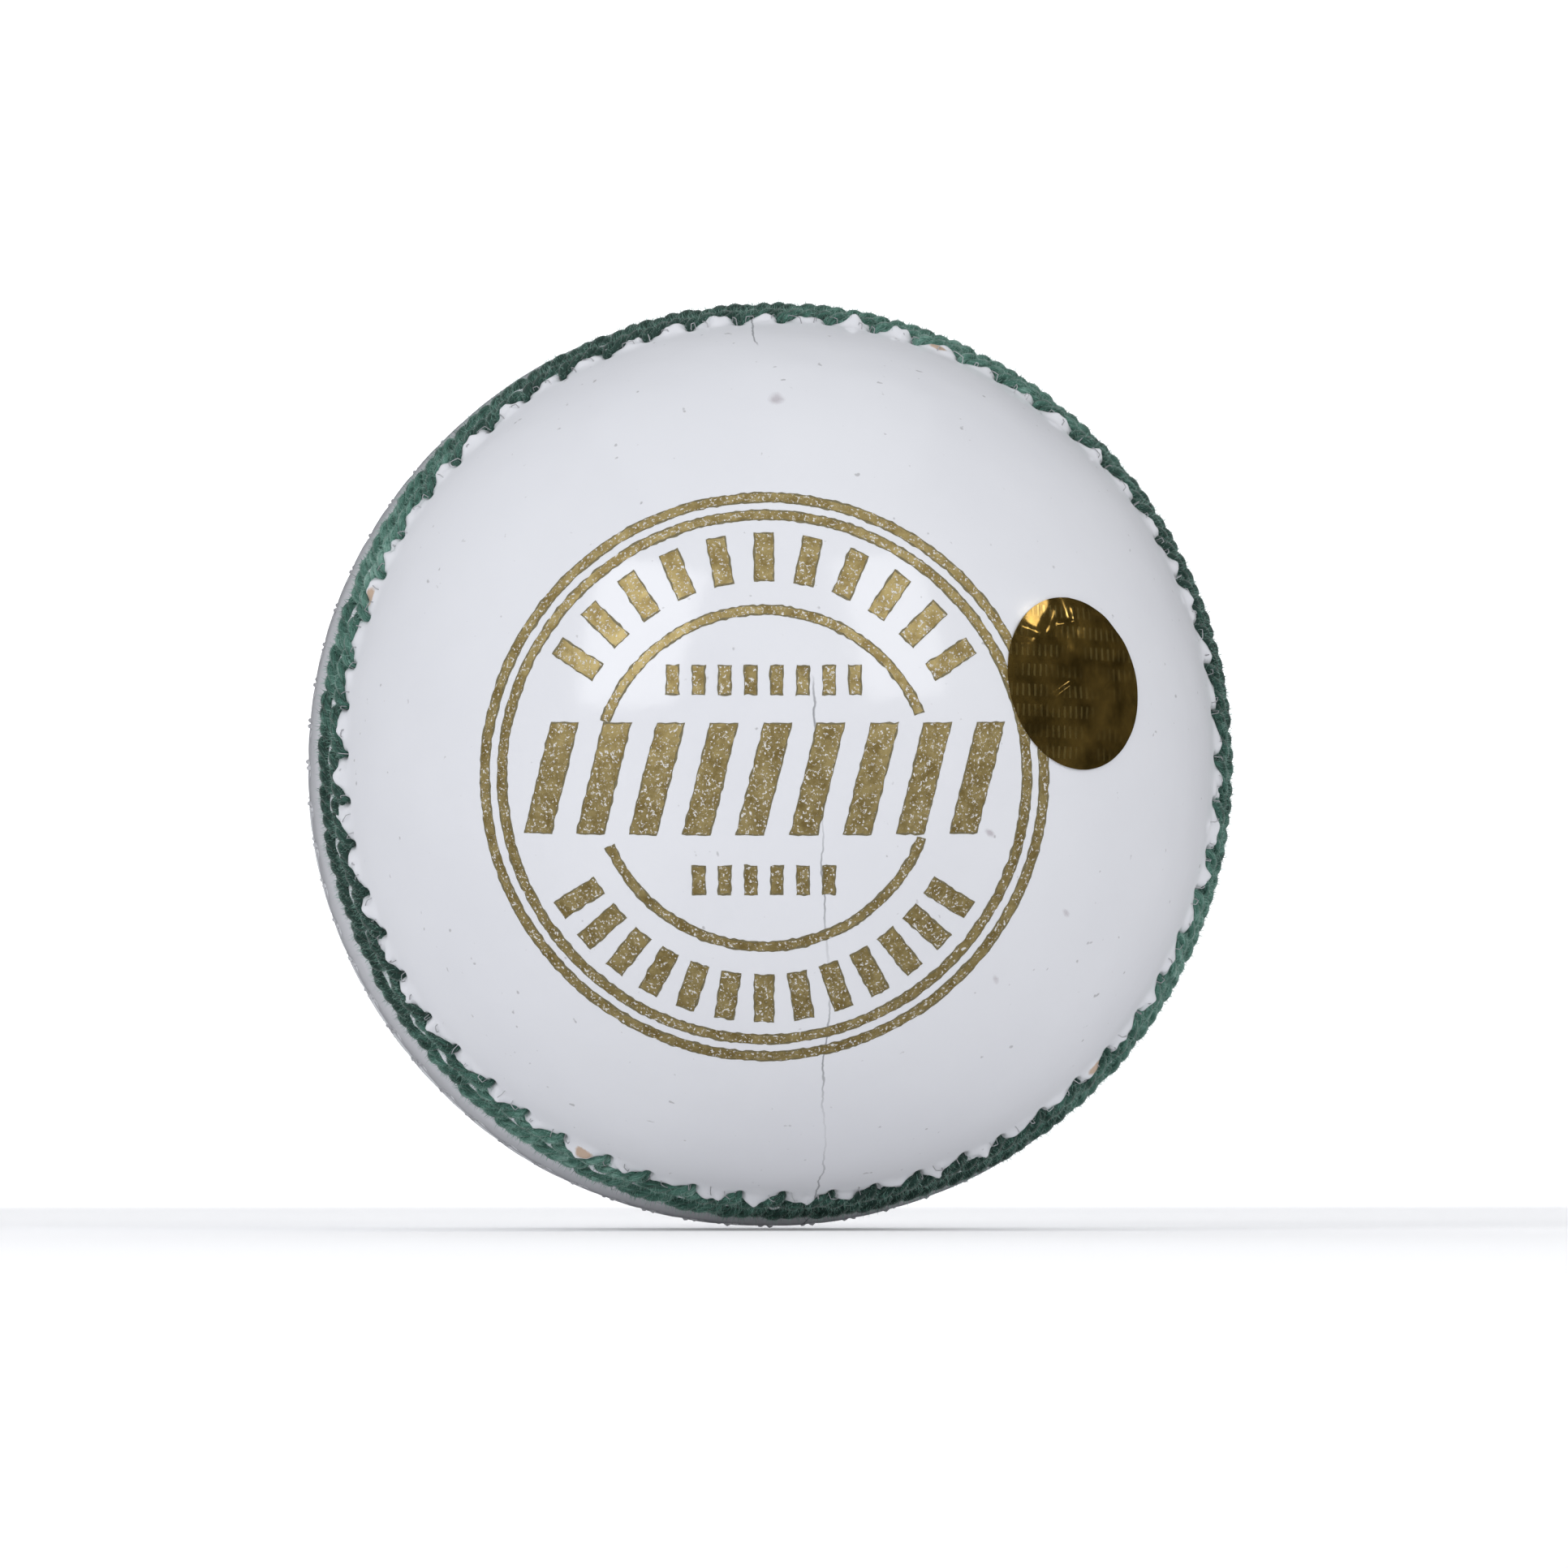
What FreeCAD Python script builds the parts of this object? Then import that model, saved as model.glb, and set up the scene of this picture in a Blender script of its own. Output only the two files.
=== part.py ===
import FreeCAD, Part
import math
import os

os.makedirs("parts", exist_ok=True)

# A hand-sewn cricket ball for one-day matches, in millimetres.
#
# The origin is the centre of the ball. The Y axis is the axis of the sewn seam, so
# the seam lies in the XZ plane and one pole of the ball is at -Y. +Z is up. The half
# with the foil stamp and the round sticker is the -Y half. "Turn" is the angle round
# the seam, from +X towards +Z. "Out from the joint" is measured over the leather.

# ---- sizes of the ball ---------------------------------------------------------
leather_radius = 35.9
leather_thickness = 3.8
core_radius = 12.0
core_rib_width = 0.8
cork_thickness = 2.0
inner_yarn_thickness = 3.0
middle_yarn_thickness = 3.0
yarn_width = 2.0
yarn_groove_depth = 0.3

# ---- cork slices laid round the yarn ---------------------------------------------
inner_slice_count = 6
outer_slice_count = 8
slice_gap = 0.3
cap_angle = 26.0

# ---- sewing of the two rows on each half -----------------------------------------
stitch_count = 60
thread_width = 1.15
thread_crest = 0.68
stitch_leg_depth = 1.7
outer_row_place = 12.05
row_spacing = 2.55
stitch_reach = 1.4
stitch_slant = 3.9
inner_row_lag = 0.34

# ---- closing stitches over the middle joint ---------------------------------------
closing_count = 72
closing_thread_width = 0.8
closing_crest = 0.35
closing_hole_place = 2.0
closing_slant = 1.3
closing_leg_depth = 1.5

# ---- hidden seam between the two quarters of each half -----------------------------
stamped_seam_turn = 94.5
plain_seam_turn = 184.5
backing_width = 8.0
backing_thickness = 0.6
seam_thread_width = 0.6
seam_stitch_radius = 1.8
seam_stitch_count = 17
seam_stitch_reach = 60.0

# ---- foil stamp and sticker -----------------------------------------------------
stamp_turn = -6.0
stamp_lift = -5.1
foil_thickness = 0.12
outer_ring_radius = 20.9
inner_ring_radius = 19.6
ring_width = 0.58
arc_radius = 12.6
arc_width = 0.57
upper_arc_ends = (23.0, 160.0)
lower_arc_ends = (204.0, 339.0)
badge_height = 8.0
badge_bar_width = 1.9
badge_bar_pitch = 3.9
badge_bar_count = 9
badge_lean = 14.0
tick_radius = 16.2
tick_height = 3.4
tick_width = 1.3
upper_tick_count = 11
upper_tick_step = 11.5
lower_tick_count = 13
lower_tick_step = 9.5
dash_row_height = 2.0
dash_width = 0.8
dash_pitch = 1.9
upper_dash_row = 7.2
upper_dash_count = 8
lower_dash_row = -7.4
lower_dash_count = 6
sticker_turn = 34.7
sticker_lift = 7.3
sticker_diameter = 13.0
sticker_thickness = 0.1

# ---- clearances ------------------------------------------------------------------
layer_gap = 0.1
thread_gap = 0.05
foil_gap = 0.02
sticker_gap = 0.03
backing_gap = 0.08

# ---- places that follow from the sizes -------------------------------------------
cup_inner_radius = leather_radius - leather_thickness
inner_yarn_start = core_radius + layer_gap
inner_yarn_end = inner_yarn_start + inner_yarn_thickness
inner_cork_start = inner_yarn_end + layer_gap
inner_cork_end = inner_cork_start + cork_thickness
middle_yarn_start = inner_cork_end + layer_gap
middle_yarn_end = middle_yarn_start + middle_yarn_thickness
outer_cork_start = middle_yarn_end + layer_gap
outer_cork_end = outer_cork_start + cork_thickness
outer_yarn_start = outer_cork_end + layer_gap
outer_yarn_end = cup_inner_radius - layer_gap
backing_start = cup_inner_radius
backing_end = backing_start + backing_thickness
inner_row_place = outer_row_place - row_spacing
stitch_pitch = 360.0 / stitch_count
closing_pitch = 360.0 / closing_count
block_size = 2.5 * leather_radius

CENTRE = FreeCAD.Vector(0, 0, 0)
X_AXIS = FreeCAD.Vector(1, 0, 0)
Y_AXIS = FreeCAD.Vector(0, 1, 0)
Z_AXIS = FreeCAD.Vector(0, 0, 1)


# ---- small helpers ----------------------------------------------------------------
def save(name, shapes):
    """Write one node, made of one or more separate solids."""
    solids = []
    for shape in shapes:
        solids.extend(shape.Solids)
    solid_group = solids[0] if len(solids) == 1 else Part.Compound(solids)
    solid_group.exportStep("parts/" + name + ".step")
    print(name, len(solids), round(solid_group.Volume, 1), solid_group.isValid())


def turned(shape, axis, angle):
    """A copy of the shape, turned about an axis through the ball's centre."""
    copy = shape.copy()
    copy.rotate(CENTRE, axis, angle)
    return copy


def on_ball(out_from_joint, turn):
    """Unit direction of a place on the stamped half, or past the joint if negative."""
    rise = out_from_joint / leather_radius
    angle = math.radians(turn)
    return FreeCAD.Vector(
        math.cos(rise) * math.cos(angle),
        -math.sin(rise),
        math.cos(rise) * math.sin(angle),
    )


def turn_for(length, out_from_joint):
    """Turn angle that covers a length along the seam at that distance from it."""
    rise = out_from_joint / leather_radius
    return math.degrees(length / (leather_radius * math.cos(rise)))


def straight_cord(corners, width):
    """A round cord along straight runs, with a round joint at each corner between them."""
    radius = width / 2.0
    pieces = []
    for start, end in zip(corners, corners[1:]):
        run = end - start
        pieces.append(Part.makeCylinder(radius, run.Length, start, run))
    for corner in corners[1:-1]:
        pieces.append(Part.makeSphere(radius, corner))
    return pieces[0].fuse(pieces[1:]).removeSplitter()


def shell_sector(inner, outer, start_angle, end_angle, sweep):
    """A piece of a hollow sphere between two angles from +Z, swept round Z."""
    a = math.radians(start_angle)
    b = math.radians(end_angle)
    middle = (a + b) / 2.0

    def point(radius, angle):
        return FreeCAD.Vector(radius * math.sin(angle), 0, radius * math.cos(angle))

    edges = [
        Part.Arc(point(outer, a), point(outer, middle), point(outer, b)).toShape(),
        Part.makeLine(point(outer, b), point(inner, b)),
        Part.Arc(point(inner, b), point(inner, middle), point(inner, a)).toShape(),
        Part.makeLine(point(inner, a), point(outer, a)),
    ]
    face = Part.Face(Part.Wire(edges))
    return face.revolve(CENTRE, Z_AXIS, sweep)


# ---- inside of the ball -----------------------------------------------------------
def core():
    """Moulded cork and rubber centre, with the fine rib that its mould leaves."""
    body_radius = core_radius - core_rib_width / 4.0
    rib = Part.makeTorus(core_radius - core_rib_width / 2.0, core_rib_width / 2.0)
    return Part.makeSphere(body_radius).fuse(rib)


def wound_yarn(start, end, axis, angle):
    """One wound layer: a hollow ball whose outside shows the strands lying side by side."""
    strands = int(round(math.pi * end / yarn_width))
    step = math.pi / strands
    valley = end - yarn_groove_depth

    def point(radius, angle_from_pole):
        return FreeCAD.Vector(radius * math.sin(angle_from_pole), 0, radius * math.cos(angle_from_pole))

    top = point(valley, step / 2)
    bottom = point(valley, math.pi - step / 2)
    edges = [Part.makeLine(FreeCAD.Vector(0, 0, top.z), top)]
    for k in range(1, strands):
        before = point(valley, (k - 0.5) * step)
        after = point(valley, (k + 0.5) * step)
        edges.append(Part.Arc(before, point(end, k * step), after).toShape())
    edges.append(Part.makeLine(bottom, FreeCAD.Vector(0, 0, bottom.z)))
    edges.append(Part.makeLine(FreeCAD.Vector(0, 0, bottom.z), FreeCAD.Vector(0, 0, top.z)))
    ball = Part.Face(Part.Wire(edges)).revolve(CENTRE, Z_AXIS, 360)
    return turned(ball.cut(Part.makeSphere(start)), axis, angle)


def cork_slices(start, end, count, axis, angle):
    """Thin cork slices laid round a wound layer, with a round slice on each end."""
    spread = 360.0 / count
    gap_angle = math.degrees(slice_gap / end)
    gore = shell_sector(start, end, cap_angle, 180.0 - cap_angle, spread - gap_angle)
    slices = [turned(gore, Z_AXIS, k * spread) for k in range(count)]
    cap = shell_sector(start, end, 0.0, cap_angle - gap_angle, 360.0)
    slices.append(cap)
    slices.append(turned(cap, X_AXIS, 180.0))
    return [turned(piece, axis, angle) for piece in slices]


# ---- stitches -----------------------------------------------------------------------
def stitch(start, finish, width, crest, leg_depth):
    """A thread that rises from one hole, lies over the leather and dives into the next.

    start and finish are unit directions of the two holes. Each leg points at the
    ball's centre, and the lie between them is straight, as a thread under pull is.
    """
    lie_radius = leather_radius + crest - width / 2.0
    foot = leather_radius - leg_depth
    return straight_cord([start * foot, start * lie_radius, finish * lie_radius, finish * foot], width)


def row_stitch(place, lag, extra=0.0):
    """One slanted green stitch of a row whose middle lies at that place on the stamped half."""
    pole_side = place + stitch_reach / 2.0
    joint_side = place - stitch_reach / 2.0
    start_turn = -lag * stitch_pitch
    finish_turn = start_turn - turn_for(stitch_slant, place)
    return stitch(
        on_ball(pole_side, start_turn),
        on_ball(joint_side, finish_turn),
        thread_width + 2.0 * extra,
        thread_crest + extra,
        stitch_leg_depth + extra,
    )


def stitch_row(place, lag, extra=0.0):
    """A whole row of green stitches round the stamped half."""
    one = row_stitch(place, lag, extra)
    return [turned(one, Y_AXIS, k * stitch_pitch) for k in range(stitch_count)]


def closing_stitches(extra=0.0):
    """The stitches that pull the two halves together across the joint.

    The slant is shared evenly about +X, so that turning the ball end over end about X
    lays the ring of stitches onto itself and both halves take the same holes.
    """
    half_slant = turn_for(closing_slant, closing_hole_place) / 2.0
    one = stitch(
        on_ball(closing_hole_place, half_slant),
        on_ball(-closing_hole_place, -half_slant),
        closing_thread_width + 2.0 * extra,
        closing_crest + extra,
        closing_leg_depth + extra,
    )
    return [turned(one, Y_AXIS, k * closing_pitch) for k in range(closing_count)]


def seam_stitches(extra=0.0):
    """Hidden loops that join the two quarters of a half from the inside, over the -Y pole."""
    foot = backing_end + backing_gap
    ring = Part.makeTorus(seam_stitch_radius, seam_thread_width / 2.0 + extra)
    ring.translate(FreeCAD.Vector(0, -foot, 0))
    base = FreeCAD.Vector(-block_size / 2.0, -foot - block_size, -block_size / 2.0)
    loop = ring.common(Part.makeBox(block_size, block_size, block_size, base))
    step = 2.0 * seam_stitch_reach / (seam_stitch_count - 1)
    first = -seam_stitch_reach
    return [turned(loop, X_AXIS, first + k * step) for k in range(seam_stitch_count)]


# ---- leather ------------------------------------------------------------------------
def stamped_side():
    """A block that holds everything on the stamped side of the joint."""
    base = FreeCAD.Vector(-block_size / 2.0, -block_size, -block_size / 2.0)
    return Part.makeBox(block_size, block_size, block_size, base)


def backing(extra=0.0):
    """Thin leather strip glued inside the stamped half over its quarter seam."""
    outer = Part.makeSphere(backing_end + extra)
    inner = Part.makeSphere(backing_start - extra)
    width = backing_width + 2.0 * extra
    base = FreeCAD.Vector(-width / 2.0, -block_size, -block_size / 2.0)
    strip = Part.makeBox(width, block_size, block_size, base)
    return outer.cut(inner).common(strip)


def sewn_cup():
    """A leather half with its stitch holes, before stamping and splitting in quarters."""
    hollow = Part.makeSphere(leather_radius).cut(Part.makeSphere(cup_inner_radius))
    cup = hollow.common(stamped_side())
    holes = stitch_row(outer_row_place, 0.0, thread_gap)
    holes.extend(stitch_row(inner_row_place, inner_row_lag, thread_gap))
    holes.extend(closing_stitches(thread_gap))
    return cup.cut(holes)


def seam_room():
    """What the backing strip and the hidden loops take out of the leather."""
    return [backing(backing_gap)] + seam_stitches(thread_gap)


def at_seam(shapes, seam_turn):
    """Shapes made over the plane across X, carried round the Y axis to a quarter seam."""
    return [turned(shape, Y_AXIS, 90.0 - seam_turn) for shape in shapes]


def halved(cup, seam_turn):
    """The two quarters of a cup, one on each side of the plane through its quarter seam."""
    base = FreeCAD.Vector(0, -block_size / 2.0, -block_size / 2.0)
    block = at_seam([Part.makeBox(block_size, block_size, block_size, base)], seam_turn)[0]
    return cup.common(block), cup.cut(block)


# ---- foil stamp and sticker -----------------------------------------------------------
def foil_skin(extra=0.0):
    """The thin layer under the leather's face that the foil is pressed into."""
    depth = foil_thickness + extra
    outer = Part.makeSphere(leather_radius + extra)
    return outer.cut(Part.makeSphere(leather_radius - depth))


def to_place(shape, turn, lift):
    """Carry a shape made about the -Y pole to its place on the stamped half."""
    lifted = turned(shape, X_AXIS, -lift)
    return turned(lifted, Z_AXIS, turn)


def ring_band(inner, outer, start, end, extra=0.0):
    """A foil band between two radii about the -Y pole, from one turn to another."""
    low = math.degrees(math.asin((inner - extra) / leather_radius))
    high = math.degrees(math.asin((outer + extra) / leather_radius))
    edge = math.degrees(extra / inner)
    bottom = leather_radius - foil_thickness - extra
    band = shell_sector(bottom, leather_radius + extra, low, high, min(end - start + 2.0 * edge, 360.0))
    # a turn about +Z becomes a turn about the -Y pole, from +X towards +Z
    band = turned(band, Z_AXIS, start - edge)
    return turned(band, X_AXIS, 90.0)


def ring_bands(extra=0.0):
    """Two full rings and two arcs, all pressed in gold foil."""
    bands = [
        ring_band(outer_ring_radius - ring_width, outer_ring_radius, 0.0, 360.0, extra),
        ring_band(inner_ring_radius - ring_width, inner_ring_radius, 0.0, 360.0, extra),
    ]
    for start, end in (upper_arc_ends, lower_arc_ends):
        bands.append(ring_band(arc_radius - arc_width, arc_radius, start, end, extra))
    return [to_place(band, stamp_turn, stamp_lift) for band in bands]


def leaning_bar(x, z, width, height, lean, extra=0.0):
    """A long leaning bar that runs through the ball's -Y side, seen as a slanted block."""
    half_width = width / 2.0 + extra
    half_height = height / 2.0 + extra
    shift = half_height * math.tan(math.radians(lean))
    y = -leather_radius - 1.0
    corners = [
        FreeCAD.Vector(x - half_width - shift, y, z - half_height),
        FreeCAD.Vector(x + half_width - shift, y, z - half_height),
        FreeCAD.Vector(x + half_width + shift, y, z + half_height),
        FreeCAD.Vector(x - half_width + shift, y, z + half_height),
    ]
    face = Part.Face(Part.makePolygon(corners + corners[:1]))
    return face.extrude(FreeCAD.Vector(0, leather_radius, 0))


def stamp_marks(extra=0.0):
    """Plain bars and ticks that fill the stamp in place of words."""
    bars = []
    middle = (badge_bar_count - 1) / 2.0
    for k in range(badge_bar_count):
        x = (k - middle) * badge_bar_pitch
        bars.append(leaning_bar(x, 0.0, badge_bar_width, badge_height, badge_lean, extra))
    for height, count in ((upper_dash_row, upper_dash_count), (lower_dash_row, lower_dash_count)):
        for k in range(count):
            x = (k - (count - 1) / 2.0) * dash_pitch
            bars.append(leaning_bar(x, height, dash_width, dash_row_height, 0.0, extra))
    tick = leaning_bar(0.0, tick_radius, tick_width, tick_height, 0.0, extra)
    tick_groups = (
        (upper_tick_count, upper_tick_step, 0.0),
        (lower_tick_count, lower_tick_step, 180.0),
    )
    for count, step, middle_turn in tick_groups:
        for k in range(count):
            bars.append(turned(tick, Y_AXIS, middle_turn + (k - (count - 1) / 2.0) * step))
    skin = foil_skin(extra)
    marks = [bar.common(skin) for bar in bars]
    return [to_place(mark, stamp_turn, stamp_lift) for mark in marks]


def sticker():
    """Round foil sticker that lies over the edge of the stamp."""
    start = leather_radius + sticker_gap
    edge = math.degrees(sticker_diameter / 2.0 / leather_radius)
    disc = shell_sector(start, start + sticker_thickness, 0.0, edge, 360.0)
    return to_place(turned(disc, X_AXIS, 90.0), sticker_turn, sticker_lift)


# ---- build ----------------------------------------------------------------------------
def end_over_end(shapes):
    """The plain half is the stamped half turned end over end about X."""
    return [turned(shape, X_AXIS, 180.0) for shape in shapes]


save("core", [core()])
save("inner_yarn", [wound_yarn(inner_yarn_start, inner_yarn_end, X_AXIS, 0.0)])
save("inner_cork_slices", cork_slices(inner_cork_start, inner_cork_end, inner_slice_count, X_AXIS, 90.0))
save("middle_yarn", [wound_yarn(middle_yarn_start, middle_yarn_end, X_AXIS, 90.0)])
save("outer_cork_slices", cork_slices(outer_cork_start, outer_cork_end, outer_slice_count, Y_AXIS, 90.0))
save("outer_yarn", [wound_yarn(outer_yarn_start, outer_yarn_end, Y_AXIS, 90.0)])

outer_row = stitch_row(outer_row_place, 0.0)
inner_row = stitch_row(inner_row_place, inner_row_lag)
save("stamped_outer_row", outer_row)
save("stamped_inner_row", inner_row)
save("plain_outer_row", end_over_end(outer_row))
save("plain_inner_row", end_over_end(inner_row))
save("closing_stitches", closing_stitches())

hidden_loops = seam_stitches()
strip = [backing().common(stamped_side())]
save("stamped_quarter_thread", at_seam(hidden_loops, stamped_seam_turn))
save("stamped_backing", at_seam(strip, stamped_seam_turn))
save("plain_quarter_thread", at_seam(end_over_end(hidden_loops), plain_seam_turn))
save("plain_backing", at_seam(end_over_end(strip), plain_seam_turn))

save("stamp_rings", ring_bands())
save("stamp_marks", stamp_marks())
save("sticker", [sticker()])

cup = sewn_cup()
room = seam_room()
stamp_room = ring_bands(foil_gap) + stamp_marks(foil_gap)
stamped_cup = cup.cut(at_seam(room, stamped_seam_turn) + stamp_room)
right, left = halved(stamped_cup, stamped_seam_turn)
save("stamped_quarter_right", [right])
save("stamped_quarter_left", [left])
plain_cup = end_over_end([cup])[0].cut(at_seam(end_over_end(room), plain_seam_turn))
upper, lower = halved(plain_cup, plain_seam_turn)
save("plain_quarter_upper", [upper])
save("plain_quarter_lower", [lower])
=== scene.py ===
# %% [markdown]
# # A white one-day cricket ball, sewn by hand
#
# The ball is four quarters of alum-tanned cowhide round a wound core. Two quarters
# are sewn from the inside into a cup, two cups are closed over the core with one ring
# of stitches, and two rows of thick waxed thread are then sewn into each cup beside
# the joint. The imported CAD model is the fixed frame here. This lesson makes what the
# eye meets: the puckered leather, the plied thread, the pressed foil and the round
# sticker. Blender works in metres, but a saddler thinks in millimetres, so sizes are
# written in millimetres and turned to metres by one constant.

import math

import bmesh
import bpy
import numpy as np
from mathutils import Matrix, Vector


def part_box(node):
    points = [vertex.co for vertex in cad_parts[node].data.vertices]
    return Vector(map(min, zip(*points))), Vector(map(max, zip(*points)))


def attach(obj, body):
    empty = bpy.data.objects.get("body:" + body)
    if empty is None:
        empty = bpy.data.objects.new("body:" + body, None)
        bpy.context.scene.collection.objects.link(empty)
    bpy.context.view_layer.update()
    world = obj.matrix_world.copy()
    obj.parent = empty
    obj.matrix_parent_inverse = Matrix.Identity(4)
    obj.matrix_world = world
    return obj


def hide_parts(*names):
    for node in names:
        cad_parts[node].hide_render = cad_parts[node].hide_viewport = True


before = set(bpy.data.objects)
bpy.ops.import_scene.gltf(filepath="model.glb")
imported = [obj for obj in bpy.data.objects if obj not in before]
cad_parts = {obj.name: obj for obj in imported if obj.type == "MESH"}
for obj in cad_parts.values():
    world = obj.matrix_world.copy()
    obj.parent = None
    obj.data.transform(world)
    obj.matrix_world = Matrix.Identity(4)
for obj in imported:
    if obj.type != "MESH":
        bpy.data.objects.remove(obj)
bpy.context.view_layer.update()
MM = 0.001

# %% [markdown]
# ## The sizes that everything follows
#
# A ball is easiest to describe in its maker's terms. "Out" is how far a place lies from
# the joint of the two cups, measured over the leather towards the stamped pole, and
# "turn" is the angle round the seam. A row of stitches is then one value of "out", and
# its count, reach and slant say the rest. The leather radius is read back from the
# frame, so the looks can't drift away from the model.

# %% Sizes of the ball and its sewing, in mm
leather_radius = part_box("stamped_quarter_right")[1][0] / MM
quarter_arc = leather_radius * math.pi / 2.0
leather_thickness = 3.8
stitch_count = 60
closing_count = 72
outer_row = {"place": 12.05, "lag": 0.0}
inner_row = {"place": 9.5, "lag": 0.34}
# the frame's threads reach 1.4 mm across the row, and are drawn pulled tighter here
stitch_reach = 1.0
stitch_slant = 3.9
closing_place = 2.0
closing_slant = 1.3
print("leather radius", round(leather_radius, 3), "mm")


# %% Places on the ball
def direction(out, turn):
    """Unit direction of a place: out from the joint in mm, turn in radians."""
    rise = np.asarray(out) / leather_radius
    turn = np.asarray(turn)
    return np.stack(
        [np.cos(rise) * np.cos(turn), -np.sin(rise) + 0.0 * turn, np.cos(rise) * np.sin(turn)], -1
    )


def crossed_waves(points, size, seed):
    """Smooth unevenness, about -1 to 1, whose humps are about size mm apart."""
    chance = np.random.default_rng(seed)
    total = np.zeros(points.shape[:-1])
    for _ in range(14):
        heading = chance.normal(size=3)
        heading *= (2.0 * math.pi / size) * chance.uniform(0.6, 1.5) / np.linalg.norm(heading)
        total += np.sin(points @ heading + chance.uniform(0.0, 2.0 * math.pi))
    return total / 4.0


def smooth_leather(unit):
    """Radius of the leather at a direction, before any sewing: hide is never quite even."""
    points = unit * leather_radius
    broad = 0.05 * crossed_waves(points, 19.0, 3)
    return leather_radius - 0.05 + broad + 0.01 * crossed_waves(points, 5.0, 4)


# %% [markdown]
# ## How a sewn row marks the leather
#
# Each stitch leaves a hole on the pole side, lies slanted over the leather and dives
# into a hole on the joint side. The pull sinks the thread into the cover, tears the
# hole a little towards the pole and makes the leather swell up between two holes.
# No two stitches are alike, so every stitch gets a small wander. It comes from sine
# waves of its number, because the same sum can be written here for the leather and
# again in the node tree for the thread, and the two then agree.

# %% The wander of each stitch, in mm
wander = {
    "start_along": (2.399, 0.16, 0.0),
    "start_out": (1.713, 0.20, 1.0),
    "end_along": (3.117, 0.14, 2.0),
    "end_out": (2.131, 0.14, 3.0),
}


def wandered(name, number, seed):
    rate, size, phase = wander[name]
    return size * np.sin(number * rate + phase + seed)


# %% The marks that one row leaves, in mm of height
def row_marks(out, turn, row, seed):
    """Height change of the leather, and the painted shade of the holes, at each place."""
    pitch = 2.0 * math.pi / stitch_count
    across = leather_radius * np.cos(out / leather_radius)
    nearest = np.floor(-turn / pitch - row["lag"])
    sunk = np.zeros_like(out)
    swell = np.zeros_like(out)
    dark = np.zeros_like(out)
    for step in (-1, 0, 1, 2):
        number = nearest + step
        index = np.mod(number, stitch_count)
        along = (turn + (number + row["lag"]) * pitch) * across
        start_along = wandered("start_along", index, seed)
        start_out = row["place"] + stitch_reach / 2.0 + wandered("start_out", index, seed)
        end_along = -stitch_slant + wandered("end_along", index, seed)
        end_out = row["place"] - stitch_reach / 2.0 + wandered("end_out", index, seed)
        run_a = end_along - start_along
        run_o = end_out - start_out
        share = ((along - start_along) * run_a + (out - start_out) * run_o) / (run_a ** 2 + run_o ** 2)
        share = np.clip(share, 0.0, 1.0)
        gap = np.hypot(along - start_along - share * run_a, out - start_out - share * run_o)
        sunk = np.minimum(sunk, -0.34 * np.exp(-((gap / 0.62) ** 2)))
        torn = ((along - start_along - 0.1) / 0.32) ** 2 + ((out - start_out - 0.6) / 0.52) ** 2
        exit_hole = ((along - end_along) / 0.4) ** 2 + ((out - end_out + 0.25) / 0.42) ** 2
        sunk = np.minimum(sunk, -0.6 * np.exp(-(torn ** 1.5)))
        sunk = np.minimum(sunk, -0.7 * np.exp(-(exit_hole ** 1.5)))
        # painted shade: the torn hole and the exit hole of each stitch are darkened in colour
        dark = np.maximum(dark, np.exp(-torn))
        dark = np.maximum(dark, 0.8 * np.exp(-exit_hole))
        lift = 0.56 + 0.14 * np.sin(index * 1.37 + seed)
        hill = ((along - start_along + 1.95) / 1.3) ** 2 + ((out - start_out + 0.12) / 0.85) ** 2
        low_hill = ((along - end_along - 1.9) / 1.1) ** 2 + ((out - end_out + 0.35) / 0.7) ** 2
        swell = np.maximum(swell, lift * np.exp(-hill))
        swell = np.maximum(swell, 0.25 * lift * np.exp(-low_hill))
    return swell, sunk, dark


# %% The marks of the closing stitches and the joint
def joint_marks(out, turn):
    pitch = 2.0 * math.pi / closing_count
    nearest = np.round(turn / pitch)
    sunk = -0.16 * np.exp(-((out / 0.4) ** 2))
    # painted shade: the leather is darkened in colour along the groove of the joint
    dark = 0.3 * np.exp(-((out / 0.3) ** 2))
    for step in (-1, 0, 1):
        along = (turn - (nearest + step) * pitch) * leather_radius
        share = np.clip(out / closing_place, 0.0, 1.0)
        gap = np.hypot(along - share * closing_slant / 2.0, out - share * closing_place)
        sunk = np.minimum(sunk, -0.1 * np.exp(-((gap / 0.5) ** 2)))
        hole = ((along - closing_slant / 2.0) / 0.32) ** 2 + ((out - closing_place - 0.15) / 0.36) ** 2
        sunk = np.minimum(sunk, -0.4 * np.exp(-(hole ** 1.5)))
        # painted shade: each hole of a closing stitch is darkened in colour
        dark = np.maximum(dark, 0.75 * np.exp(-hole))
    return sunk, dark


# %% The whole height of the leather
def worked_leather(out, turn, seed):
    """Radius in mm of the sewn leather of one cup, and the painted shade in its holes and joint groove.
    """
    radius = smooth_leather(direction(out, turn))
    outer_swell, outer_sunk, outer_hole_shade = row_marks(out, turn, outer_row, seed)
    inner_swell, inner_sunk, inner_hole_shade = row_marks(out, turn, inner_row, seed + 1.0)
    joint_sunk, joint_groove_shade = joint_marks(out, turn)
    swell = np.maximum(outer_swell, 0.4 * inner_swell)
    swell = swell * (1.0 - np.clip(np.maximum(outer_hole_shade, inner_hole_shade), 0.0, 1.0))
    places = direction(out, turn) * leather_radius
    swell = swell * (1.0 + 0.3 * crossed_waves(places, 2.6, 6) + 0.3 * crossed_waves(places, 1.1, 7))
    sunk = np.minimum(np.minimum(outer_sunk, inner_sunk), joint_sunk)
    return radius + swell + sunk, np.maximum(np.maximum(outer_hole_shade, inner_hole_shade), joint_groove_shade)


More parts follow.
